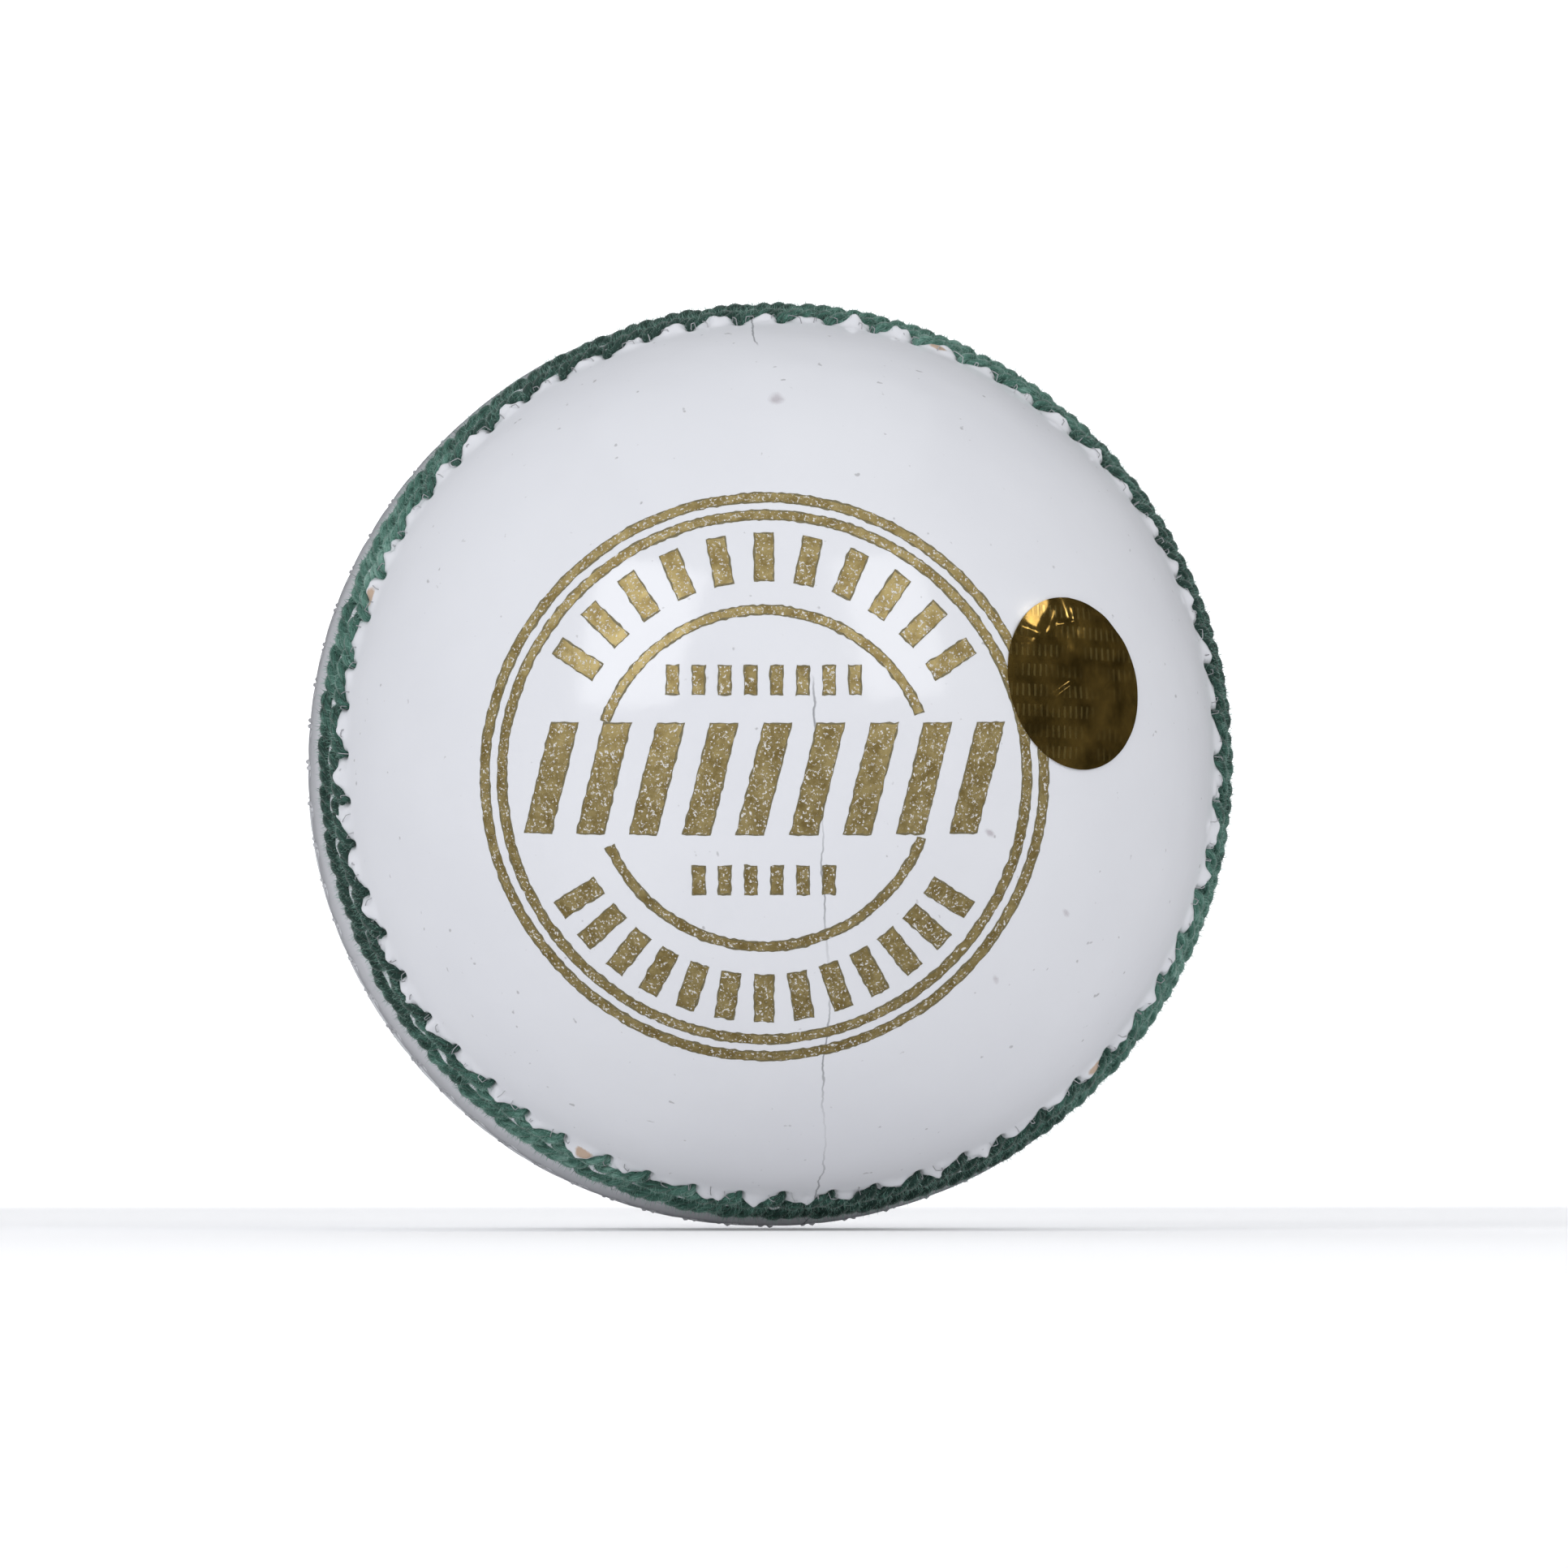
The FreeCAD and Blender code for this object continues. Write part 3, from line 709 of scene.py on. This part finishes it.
    # loose fibres that stand off the thread
    spread = {"Mesh": smooth, "Density": given["Fibres"], "Seed": 5}
    spots = add(tree, "GeometryNodeDistributePointsOnFaces", spread)
    cone = {"Vertices": 3, "Radius Top": 0.0, "Radius Bottom": fibre_radius, "Depth": 1.0}
    fibre = add(tree, "GeometryNodeMeshCone", cone, fill_type="NONE")
    shake = {"Min": (-0.9, -0.9, -0.9), "Max": (0.9, 0.9, 0.9), "Seed": 8}
    loose = add(tree, CHANCE, shake, data_type="FLOAT_VECTOR")
    outward = add(tree, VECTOR_MATH, add(tree, "GeometryNodeInputPosition"), operation="NORMALIZE")
    strewn = add(tree, VECTOR_MATH, outward, loose, operation="ADD")
    lean = add(tree, VECTOR_MATH, strewn, spots.outputs["Normal"], operation="ADD")
    pointing = add(tree, "FunctionNodeAlignRotationToVector", {"Vector": lean}, axis="Z")
    length = add(tree, CHANCE, {"Min": 0.4, "Max": 1.0, "Seed": 9}, data_type="FLOAT")
    long = add(tree, MATH, length, given["Fibre Length"], operation="MULTIPLY")
    size = add(tree, JOIN, 1.0, 1.0, long)
    planted = {"Points": spots.outputs["Points"], "Instance": fibre, "Rotation": pointing, "Scale": size}
    fuzz = add(tree, "GeometryNodeInstanceOnPoints", planted)
    paleness = add(tree, CHANCE, {"Min": 0.3, "Max": 1.6, "Seed": 11}, data_type="FLOAT")
    pale_values = {"Geometry": fuzz, "Name": "shade", "Value": paleness}
    pale_fuzz = add(tree, STORE, pale_values, data_type="FLOAT", domain="INSTANCE")

    joined = add(tree, "GeometryNodeJoinGeometry")
    tree.links.new(pale_fuzz.outputs[0], joined.inputs[0])
    tree.links.new(smooth.outputs[0], joined.inputs[0])
    metres = add(tree, "GeometryNodeTransform", {"Geometry": joined, "Scale": (MM, MM, MM)})
    real = add(tree, "GeometryNodeRealizeInstances", {"Geometry": metres})
    finished = add(tree, "GeometryNodeSetMaterial", {"Geometry": real, "Material": given["Thread"]})
    add(tree, "NodeGroupOutput", finished)
    return tree


sewing_tree = make_sewing_tree()
print("tree", sewing_tree.name, len(sewing_tree.nodes), "nodes")


# %% Sew a row and keep it as a plain mesh
def grown(name, tree, values, turned_over=False):
    """Run a tree with its inputs, and keep the result as a plain mesh at the origin."""
    maker = bpy.data.objects.new(name + "_maker", bpy.data.meshes.new(name + "_maker"))
    bpy.context.scene.collection.objects.link(maker)
    modifier = maker.modifiers.new(tree.name, "NODES")
    modifier.node_group = tree
    for item in tree.interface.items_tree:
        if item.item_type == "SOCKET" and item.in_out == "INPUT":
            modifier[item.identifier] = values[item.name]
    depsgraph = bpy.context.evaluated_depsgraph_get()
    mesh = bpy.data.meshes.new_from_object(maker.evaluated_get(depsgraph), depsgraph=depsgraph)
    bpy.data.objects.remove(maker)
    if turned_over:
        mesh.transform(Matrix.Rotation(math.pi, 4, "X"))
    mesh.name = name
    return kept(name, mesh)


def row_values(row, seed):
    return {
        "Count": stitch_count,
        "Plies": 3,
        "Points": 26,
        "Place": row["place"],
        "Reach": stitch_reach,
        "Slant": stitch_slant,
        "Lag": row["lag"],
        "Crest": 0.68,
        "Thread Radius": 0.64,
        "Leg Depth": 1.5,
        "Ball Radius": leather_radius,
        "Twists": 1.7,
        "Wander": 1.0,
        "Seed": seed,
        "Fibres": 15.0,
        "Fibre Length": 0.6,
        "Thread": green_thread,
    }


sewn_rows = {
    "stamped_outer_row": grown("thread_stamped_outer", sewing_tree, row_values(outer_row, 0.0)),
    "stamped_inner_row": grown("thread_stamped_inner", sewing_tree, row_values(inner_row, 1.0)),
    "plain_outer_row": grown("thread_plain_outer", sewing_tree, row_values(outer_row, 5.0), True),
    "plain_inner_row": grown("thread_plain_inner", sewing_tree, row_values(inner_row, 6.0), True),
}
for node_name, piece in sewn_rows.items():
    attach(piece, "root")
    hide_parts(node_name)

# %% [markdown]
# ## Torn finish at the holes
#
# The awl tears the painted face as it goes through, and thin slivers of finish stand up
# along the pole side of each outer row. The sewing tree can lay them too: many short,
# thin white arcs with a wide wander, so that no two lie alike.

# %% Slivers of torn finish
sliver_values = row_values({"place": 13.2, "lag": 0.1}, 2.0)
sliver_values.update(
    {
        "Count": 130,
        "Plies": 1,
        "Points": 5,
        "Reach": 0.55,
        "Slant": -0.35,
        "Crest": 0.4,
        "Thread Radius": 0.065,
        "Leg Depth": 0.5,
        "Twists": 0.0,
        "Wander": 2.4,
        "Fibres": 0.0,
        "Fibre Length": 0.1,
        "Thread": painted_thread,
    }
)
torn_slivers = {
    "torn_finish_stamped": grown("torn_finish_stamped", sewing_tree, sliver_values),
    "torn_finish_plain": grown("torn_finish_plain", sewing_tree, sliver_values, True),
}
for piece in torn_slivers.values():
    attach(piece, "root")

# %% [markdown]
# ## Closing stitches
#
# One ring of thinner stitches pulls the two cups together. They were sewn before the
# white finish went on, so the finish fills the twist and only low ribs show. The same
# tree makes them: the row lies on the joint, and the reach goes from cup to cup.

# %% The ring across the joint
closing_pitch = 2.0 * math.pi * leather_radius / closing_count
closing_values = row_values({"place": 0.0, "lag": -closing_slant / 2.0 / closing_pitch}, 0.0)
closing_values.update(
    {
        "Count": closing_count,
        "Plies": 2,
        "Points": 16,
        "Reach": 2.0 * closing_place,
        "Slant": closing_slant,
        "Crest": 0.07,
        "Thread Radius": 0.34,
        "Leg Depth": 1.1,
        "Twists": 1.5,
        "Wander": 0.0,
        "Fibres": 0.0,
        "Fibre Length": 0.1,
        "Thread": painted_thread,
    }
)
closing_ring = grown("thread_closing_stitches", sewing_tree, closing_values)
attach(closing_ring, "root")
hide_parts("closing_stitches")

# %% [markdown]
# ## The gold stamp
#
# A heated brass die presses gold foil into the finished leather. The foil lies flush,
# and the die's edge burns a thin brown line round every shape. Painting this on would
# look flat, so each bar and ring is its own thin patch that follows the leather, with a
# slightly wider burnt patch just under it. Plain bars and ticks fill the places where a
# real ball carries words.

# %% Pressed foil and burnt edge
def make_foil(name, bright, dull, worn, roughness, speckle):
    """Brass-coloured metal film. Worn specks let the finish below show through."""
    material, tree = new_material(name)
    place = add(tree, PLACE).outputs["Object"]
    mottle = add(tree, NOISE, {"Vector": place, "Scale": per_mm(1.1), "Detail": 4.0, "Roughness": 0.6})
    speck = add(tree, NOISE, {"Vector": place, "Scale": per_mm(0.22), "Detail": 3.0, "Roughness": 0.7})
    tone = add(tree, RANGE, mottle, 0.35, 0.65, 0.0, 1.0)
    metal = add(tree, MIX, tone, None, {6: linear(dull), 7: linear(bright)}, data_type="RGBA")
    bare = add(tree, RANGE, speck, speckle, speckle + 0.05, 0.0, 1.0)
    colour = add(tree, MIX, bare, None, {6: metal, 7: linear(worn)}, data_type="RGBA")
    film_metal = add(tree, MATH, bare, -0.5, 0.5, operation="MULTIPLY_ADD")
    pressed = add(tree, BUMP, {"Strength": 1.0, "Distance": 0.012 * MM, "Height": speck})
    rough = add(tree, RANGE, speck, 0.3, 0.7, roughness, roughness + 0.14)
    shader = add(
        tree,
        SHADER,
        {"Base Color": colour, "Metallic": film_metal, "Roughness": rough, "Normal": pressed},
    )
    add(tree, OUTPUT, shader)
    return material


def make_burnt():
    """Finish browned by the hot die: a dull dark film over the leather."""
    material, tree = new_material("burnt_leather_edge")
    place = add(tree, PLACE).outputs["Object"]
    speck = add(tree, NOISE, {"Vector": place, "Scale": per_mm(0.3), "Detail": 3.0, "Roughness": 0.7})
    colour = add(tree, MIX, speck, None, {6: linear("#5b5038"), 7: linear("#8f8763")}, data_type="RGBA")
    dent = add(tree, BUMP, {"Strength": 0.7, "Distance": 0.01 * MM, "Height": speck})
    shader = add(tree, SHADER, {"Base Color": colour, "Normal": dent})
    shader.inputs["Roughness"].default_value = 0.5
    add(tree, OUTPUT, shader)
    return material


gold = make_foil("pressed_gold_foil", "#c4b078", "#98834d", "#dcdbd8", 0.36, 0.57)
burnt = make_burnt()
print("foil", gold.name, burnt.name)

# %% Sizes of the stamp, in mm and degrees
stamp_turn, stamp_lift = -6.0, -5.1
rings = [
    (20.32, 20.9, 0.0, 360.0),
    (19.02, 19.6, 0.0, 360.0),
    (12.03, 12.6, 23.0, 160.0),
    (12.03, 12.6, 204.0, 339.0),
]
badge = {"height": 8.0, "width": 1.9, "pitch": 3.9, "count": 9, "lean": 14.0}
dash_rows = [(7.2, 8), (-7.4, 6)]
dash = {"height": 2.0, "width": 0.8, "pitch": 1.9}
tick = {"radius": 16.2, "height": 3.4, "width": 1.3}
tick_groups = [(11, 11.5, 0.0), (13, 9.5, 180.0)]
burnt_rim = 0.1
foil_tear = 0.045


# %% Foil patches laid on the leather
def placed(flat, turn, lift):
    """Unit directions of flat stamp points (x right, z up, in mm) after they are placed."""
    x, z = flat[..., 0] / leather_radius, flat[..., 1] / leather_radius
    unit = np.stack([x, -np.sqrt(1.0 - x * x - z * z), z], -1)
    lifted = Matrix.Rotation(math.radians(-lift), 3, "X")
    matrix = np.array(Matrix.Rotation(math.radians(turn), 3, "Z") @ lifted)
    return unit @ matrix.T


def ragged(grid, seed):
    """Foil tears a little along its edges, so flat points wander by a few hundredths of a mm."""
    flat = np.stack([grid[..., 0], np.zeros(grid.shape[:-1]), grid[..., 1]], -1)
    wandering = [crossed_waves(flat, 0.7, seed), crossed_waves(flat, 0.7, seed + 1)]
    return grid + foil_tear * np.stack(wandering, -1)


def film(name, patches, above, below, material, seed, closed=()):
    """Thin closed films that follow the leather. A patch is a grid of flat points."""
    points, faces = [], []
    for k, smooth_grid in enumerate(patches):
        grid = ragged(smooth_grid, seed)
        unit = placed(grid, stamp_turn, stamp_lift)
        base = smooth_leather(unit)[..., None]
        start = len(points)
        tall, wide = grid.shape[:2]
        points.extend((unit * (base + above)).reshape(-1, 3).tolist())
        points.extend((unit * (base - below)).reshape(-1, 3).tolist())
        under = start + tall * wide
        for r in range(tall - 1):
            for c in range(wide - 1):
                a = r * wide + c
                faces.append([start + a, start + a + 1, start + a + wide + 1, start + a + wide])
                faces.append([under + a + wide, under + a + wide + 1, under + a + 1, under + a])
        edge = [r * wide for r in range(tall)][::-1]
        edge += list(range(1, wide))
        edge += [r * wide + wide - 1 for r in range(1, tall)]
        edge += [(tall - 1) * wide + c for c in range(wide - 2, 0, -1)]
        if k in closed:
            sides = [list(range(wide)), [(tall - 1) * wide + c for c in range(wide)][::-1]]
        else:
            sides = [edge + edge[:1]]
        for side in sides:
            for a, b in zip(side, side[1:]):
                faces.append([start + b, start + a, under + a, under + b])
    return kept(name, smooth_mesh(name, np.array(points), faces, material, 50.0, True))


def bar(x, z, width, height, lean, extra, spin=0.0):
    """Grid of a leaning bar; spin turns it round the stamp's centre, in degrees."""
    half_w, half_h = width / 2.0 + extra, height / 2.0 + extra
    side_steps = np.linspace(-half_w, half_w, 7)
    up_steps = np.linspace(-half_h, half_h, int(height * 5) + 2)
    across, up = np.meshgrid(side_steps, up_steps, indexing="xy")
    flat = np.stack([x + across + up * math.tan(math.radians(lean)), z + up], -1)
    s, c = math.sin(math.radians(spin)), math.cos(math.radians(spin))
    return flat @ np.array([[c, -s], [s, c]])


def band(inner, outer, start, end, extra):
    """Grid of a ring or arc."""
    trim = 0.0 if end - start >= 360.0 else math.degrees(extra / inner)
    turns = np.radians(np.linspace(start - trim, end + trim, 541))
    radii = np.linspace(inner - extra, outer + extra, 4)
    radius, turn = np.meshgrid(radii, turns, indexing="ij")
    return np.stack([radius * np.cos(turn), radius * np.sin(turn)], -1)


def stamp_patches(extra):
    bars = []
    for k in range(badge["count"]):
        x = (k - (badge["count"] - 1) / 2.0) * badge["pitch"]
        bars.append(bar(x, 0.0, badge["width"], badge["height"], badge["lean"], extra))
    for z, count in dash_rows:
        for k in range(count):
            x = (k - (count - 1) / 2.0) * dash["pitch"]
            bars.append(bar(x, z, dash["width"], dash["height"], 0.0, extra))
    for count, step, middle in tick_groups:
        for k in range(count):
            spin = middle + (k - (count - 1) / 2.0) * step
            bars.append(bar(0.0, tick["radius"], tick["width"], tick["height"], 0.0, extra, spin))
    return bars, [band(*ring, extra) for ring in rings]


foil_bars, foil_bands = stamp_patches(0.0)
rim_bars, rim_bands = stamp_patches(burnt_rim)
stamp_pieces = {
    "stamp_marks": film("foil_stamp_marks", foil_bars, 0.035, 0.08, gold, 21),
    "stamp_rings": film("foil_stamp_rings", foil_bands, 0.035, 0.08, gold, 21, (0, 1)),
}
rim_pieces = [
    film("burnt_rim_of_marks", rim_bars, 0.018, 0.07, burnt, 31),
    film("burnt_rim_of_rings", rim_bands, 0.018, 0.07, burnt, 31, (0, 1)),
]
for node_name, piece in stamp_pieces.items():
    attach(piece, "root")
    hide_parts(node_name)
for piece in rim_pieces:
    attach(piece, "root")

# %% [markdown]
# ## The round sticker
#
# A thin mirror-like foil disc is stuck over the edge of the stamp. A flat foil can't
# lie on a ball without creases, and in a mirror the creases are all that the eye sees.
# They are therefore real height in a fine round grid, and not only a bump.

# %% Creased foil disc
sticker_turn, sticker_lift, sticker_radius = 34.7, 7.3, 6.5
creases = [
    ((0.2, 6.4), (0.4, 4.6), 0.12, 0.2),
    ((0.4, 4.6), (-1.2, 4.3), 0.1, 0.2),
    ((-4.9, -2.7), (-0.7, -0.2), 0.14, 0.22),
    ((-3.8, -4.9), (-0.8, -2.4), 0.12, 0.5),
    ((-5.6, 4.2), (-3.4, 3.6), 0.08, 0.2),
    ((-3.4, 2.6), (-1.4, 5.4), 0.1, 0.5),
    ((1.8, -1.6), (5.4, -2.6), 0.05, 0.4),
]


def crease_height(flat):
    height = np.zeros(flat.shape[:-1])
    for start, end, tall, wide in creases:
        a, b = np.array(start), np.array(end)
        share = np.clip(((flat - a) @ (b - a)) / ((b - a) @ (b - a)), 0.0, 1.0)
        gap = np.linalg.norm(flat - a - share[..., None] * (b - a), axis=-1)
        height += tall * np.exp(-((gap / wide) ** 2)) * (0.55 + 0.45 * np.sin(np.pi * share))
    pillow = np.stack([flat[..., 0], np.zeros(flat.shape[:-1]), flat[..., 1]], -1)
    return height + 0.035 * crossed_waves(pillow, 4.6, 9) + 0.018 * crossed_waves(pillow, 1.9, 10)


def make_sticker_foil():
    """Dark gold mirror film with rows of faint upright strokes, partly rubbed away."""
    material, tree = new_material("dark_gold_mirror_film")
    place = add(tree, PLACE).outputs["Object"]
    across = add(tree, "ShaderNodeTexWave", {"Vector": place, "Scale": per_mm(1.5), "Distortion": 1.5})
    upward = add(
        tree, "ShaderNodeTexWave", {"Vector": place, "Scale": per_mm(4.8)}, bands_direction="Z"
    )
    strokes = add(tree, RANGE, across.outputs["Fac"], 0.62, 0.8, 0.0, 1.0)
    in_row = add(tree, RANGE, upward.outputs["Fac"], 0.3, 0.4, 0.0, 1.0)
    lattice = add(tree, MATH, strokes, in_row, operation="MULTIPLY")
    fade = add(tree, NOISE, {"Vector": place, "Scale": per_mm(3.5), "Detail": 1.0})
    print_left = add(tree, RANGE, fade, 0.38, 0.62, 0.0, 0.45)
    printed = add(tree, MATH, lattice, print_left, operation="MULTIPLY")
    mottle = add(tree, NOISE, {"Vector": place, "Scale": per_mm(2.4), "Detail": 4.0, "Roughness": 0.6})
    tone = add(tree, RANGE, mottle, 0.35, 0.68, 0.0, 1.0)
    plain_film = add(
        tree, MIX, tone, None, {6: linear("#54441f"), 7: linear("#8d7338")}, data_type="RGBA"
    )
    colour = add(tree, MIX, printed, None, {6: plain_film, 7: linear("#b3a066")}, data_type="RGBA")
    rough = add(tree, RANGE, mottle, 0.3, 0.7, 0.06, 0.14)
    emboss = add(tree, BUMP, {"Strength": 0.3, "Distance": 0.004 * MM, "Height": lattice})
    shader = add(tree, SHADER, {"Base Color": colour, "Roughness": rough, "Normal": emboss})
    shader.inputs["Metallic"].default_value = 0.72
    add(tree, OUTPUT, shader)
    return material


def make_disc(name, material):
    rounds, spokes = 44, 128
    radii = np.linspace(0.0, sticker_radius, rounds + 1)[1:]
    turns = np.linspace(0.0, 2.0 * math.pi, spokes, endpoint=False)
    radius, turn = np.meshgrid(radii, turns, indexing="ij")
    flat = np.stack([radius * np.cos(turn), radius * np.sin(turn)], -1).reshape(-1, 2)
    flat = np.concatenate([flat, np.zeros((1, 2))])
    unit = placed(flat, sticker_turn, sticker_lift)
    base = smooth_leather(unit)
    top = unit * (base + 0.13 + crease_height(flat))[:, None]
    bottom = unit * (base + 0.05)[:, None]
    count = len(flat)
    faces = []
    for r in range(rounds - 1):
        for c in range(spokes):
            n = (c + 1) % spokes
            quad = [r * spokes + c, r * spokes + n, (r + 1) * spokes + n, (r + 1) * spokes + c]
            faces.append(quad)
            faces.append([count + v for v in quad[::-1]])
    for c in range(spokes):
        n = (c + 1) % spokes
        faces.append([c, count - 1, n])
        faces.append([count + n, 2 * count - 1, count + c])
        rim, rim_next = (rounds - 1) * spokes + c, (rounds - 1) * spokes + n
        faces.append([rim, rim_next, count + rim_next, count + rim])
    points = np.concatenate([top, bottom])
    return kept(name, smooth_mesh(name, points, faces, material, 60.0, True))


sticker = make_disc("foil_sticker", make_sticker_foil())
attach(sticker, "root")
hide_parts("sticker")

# %% [markdown]
# ## Inside the ball
#
# The core, the wound yarn, the cork slices, the backing strips and the hidden thread
# keep their CAD shapes, since those are right as they are. Each gets the finish of its
# real stuff, so that the ball is also true where it is opened or seen in section.

# %% Finishes of the inner layers
def make_stuff(name, colours, size, stretch, bump_mm, roughness, grain_kind="noise"):
    """Mottled natural stuff. stretch draws the pattern out along one axis, as fibres are."""
    material, tree = new_material(name)
    place = add(tree, PLACE).outputs["Object"]
    drawn = add(tree, "ShaderNodeMapping", {"Vector": place, "Scale": stretch})
    noise = add(tree, NOISE, {"Vector": drawn, "Scale": per_mm(size), "Detail": 5.0, "Roughness": 0.65})
    cells = add(tree, "ShaderNodeTexVoronoi", {"Vector": drawn, "Scale": per_mm(size)})
    pattern = cells.outputs["Distance"] if grain_kind == "cells" else noise.outputs["Fac"]
    ramp = add(tree, "ShaderNodeValToRGB", pattern)
    ramp.color_ramp.elements[0].position = 0.3
    ramp.color_ramp.elements[0].color = linear(colours[0])
    ramp.color_ramp.elements[1].position = 0.7
    ramp.color_ramp.elements[1].color = linear(colours[1])
    bump = add(tree, BUMP, {"Strength": 1.0, "Distance": bump_mm * MM, "Height": pattern})
    shader = add(tree, SHADER, {"Base Color": ramp.outputs["Color"], "Normal": bump})
    shader.inputs["Roughness"].default_value = roughness
    add(tree, OUTPUT, shader)
    return material


rubber_cork = make_stuff(
    "moulded_cork_and_rubber", ("#3a2114", "#7b5233"), 1.4, (1, 1, 1), 0.08, 0.7, "cells"
)
cork = make_stuff("sliced_cork", ("#8d6238", "#caa06c"), 1.1, (1, 1, 1), 0.06, 0.75, "cells")
worsted = make_stuff("wound_worsted_yarn", ("#a59776", "#dccfae"), 0.5, (1, 0.2, 0.2), 0.08, 0.85)
backing = make_stuff("undyed_backing_leather", ("#9a744c", "#c49c6c"), 0.7, (1, 1, 1), 0.03, 0.6)
linen = make_stuff("natural_linen_thread", ("#a39877", "#d9cfb0"), 0.3, (0.3, 1, 1), 0.03, 0.7)
inner_finishes = {
    "core": rubber_cork,
    "inner_cork_slices": cork,
    "outer_cork_slices": cork,
    "inner_yarn": worsted,
    "middle_yarn": worsted,
    "outer_yarn": worsted,
    "stamped_backing": backing,
    "plain_backing": backing,
    "stamped_quarter_thread": linen,
    "plain_quarter_thread": linen,
}
for node_name, material in inner_finishes.items():
    for material_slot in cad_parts[node_name].material_slots:
        material_slot.material = material
print("inner finishes", len(inner_finishes))

# %% [markdown]
# ## Floor, light and camera
#
# A sweep of matt white paper carries the ball and curves up behind it. Two soft boxes
# stand either side above the camera: on a glossy ball they are what draws the two pale
# patches. A small warm card gives the sticker its glint. A weak even sky fills the
# shadows, and the paper is given a faint painted glow, which lights the ball from below
# and lightens its shadow on the floor. Sky and paper are both hidden from reflections,
# because they would wash out the gloss.

# %% Paper sweep
def make_glowing_paper():
    material, tree = new_material("white_paper_with_painted_glow")
    shader = add(tree, SHADER, {"Base Color": linear("#f6f6f7")})
    shader.inputs["Roughness"].default_value = 0.9
    shader.inputs["Specular IOR Level"].default_value = 0.1
    # painted glow: the paper gives off a little light of its own, to light the ball from below and
    # lighten its shadow
    shader.inputs["Emission Color"].default_value = linear("#ffffff")
    shader.inputs["Emission Strength"].default_value = 0.11
    add(tree, OUTPUT, shader)
    return material


floor_height = -leather_radius - 0.19
sweep_front, curve_start, curve_radius, curve_steps = -900.0, 500.0, 400.0, 24
sweep_height, half_sweep_width = 1400.0, 1500.0
profile = [(sweep_front, floor_height), (curve_start, floor_height)]
for k in range(1, curve_steps + 1):
    a = math.radians(k * 90.0 / curve_steps)
    y = curve_start + curve_radius * math.sin(a)
    profile.append((y, floor_height + curve_radius * (1.0 - math.cos(a))))
profile.append((curve_start + curve_radius, floor_height + sweep_height))
edges_across = (-half_sweep_width, half_sweep_width)
sweep_points = [(x * MM, y * MM, z * MM) for y, z in profile for x in edges_across]
sweep_faces = [(2 * k, 2 * k + 1, 2 * k + 3, 2 * k + 2) for k in range(len(profile) - 1)]
sweep_mesh = bpy.data.meshes.new("paper_sweep")
sweep_mesh.from_pydata(sweep_points, [], sweep_faces)
sweep_mesh.polygons.foreach_set("use_smooth", np.ones(len(sweep_mesh.polygons), bool))
sweep_mesh.materials.append(make_glowing_paper())
sweep = bpy.data.objects.new("paper_sweep", sweep_mesh)
bpy.context.scene.collection.objects.link(sweep)
sweep.visible_glossy = False


# %% Camera
view_turn, view_lift = math.radians(-5.67), math.radians(-3.67)
camera_distance = 502.6


def away(turn, lift):
    return Vector((math.sin(turn) * math.cos(lift), -math.cos(turn) * math.cos(lift), math.sin(lift)))


camera_data = bpy.data.cameras.new("camera")
camera_data.lens = 147.5
camera_data.sensor_width = 36.0
camera_data.shift_x = 0.0111
camera_data.shift_y = -0.0109
camera_data.clip_start = 2.0 * MM
camera = bpy.data.objects.new("camera", camera_data)
bpy.context.scene.collection.objects.link(camera)
camera.location = away(view_turn, view_lift) * camera_distance * MM
camera.rotation_euler = (-camera.location).to_track_quat("-Z", "Y").to_euler()
bpy.context.scene.camera = camera


# %% Soft boxes and sky
def softbox(name, turn, lift, distance, size_x, size_y, power, colour):
    data = bpy.data.lights.new(name, "AREA")
    data.shape = "RECTANGLE"
    data.size, data.size_y = size_x * MM, size_y * MM
    data.energy = power
    data.color = linear(colour)[:3]
    lamp = bpy.data.objects.new(name, data)
    bpy.context.scene.collection.objects.link(lamp)
    lamp.location = away(math.radians(turn), math.radians(lift)) * distance * MM
    lamp.rotation_euler = (-lamp.location).to_track_quat("-Z", "Y").to_euler()
    return lamp


softbox("softbox_left", -40.0, 28.0, 650.0, 300.0, 400.0, 1.1, "#ffffff")
softbox("softbox_right", 28.0, 30.0, 650.0, 240.0, 400.0, 0.66, "#ffffff")
softbox("softbox_top", 0.0, 86.0, 700.0, 700.0, 700.0, 0.36, "#f8fbff")
softbox("glint_card", 72.0, 27.5, 650.0, 110.0, 60.0, 0.15, "#fff6e0")

backdrop_lamp = softbox("backdrop_light", 180.0, 55.0, 700.0, 1600.0, 300.0, 6.5, "#ffffff")
backdrop_middle = Vector((0.0, curve_start + curve_radius, 520.0)) * MM
backdrop_aim = backdrop_middle - backdrop_lamp.location
backdrop_lamp.rotation_euler = backdrop_aim.to_track_quat("-Z", "Y").to_euler()

world = bpy.data.worlds.new("soft_sky")
bpy.context.scene.world = world
world.use_nodes = True
background = world.node_tree.nodes["Background"]
background.inputs["Color"].default_value = linear("#f4f6fa")
background.inputs["Strength"].default_value = 0.57
world.cycles_visibility.glossy = False
bpy.context.scene.view_settings.view_transform = "Standard"
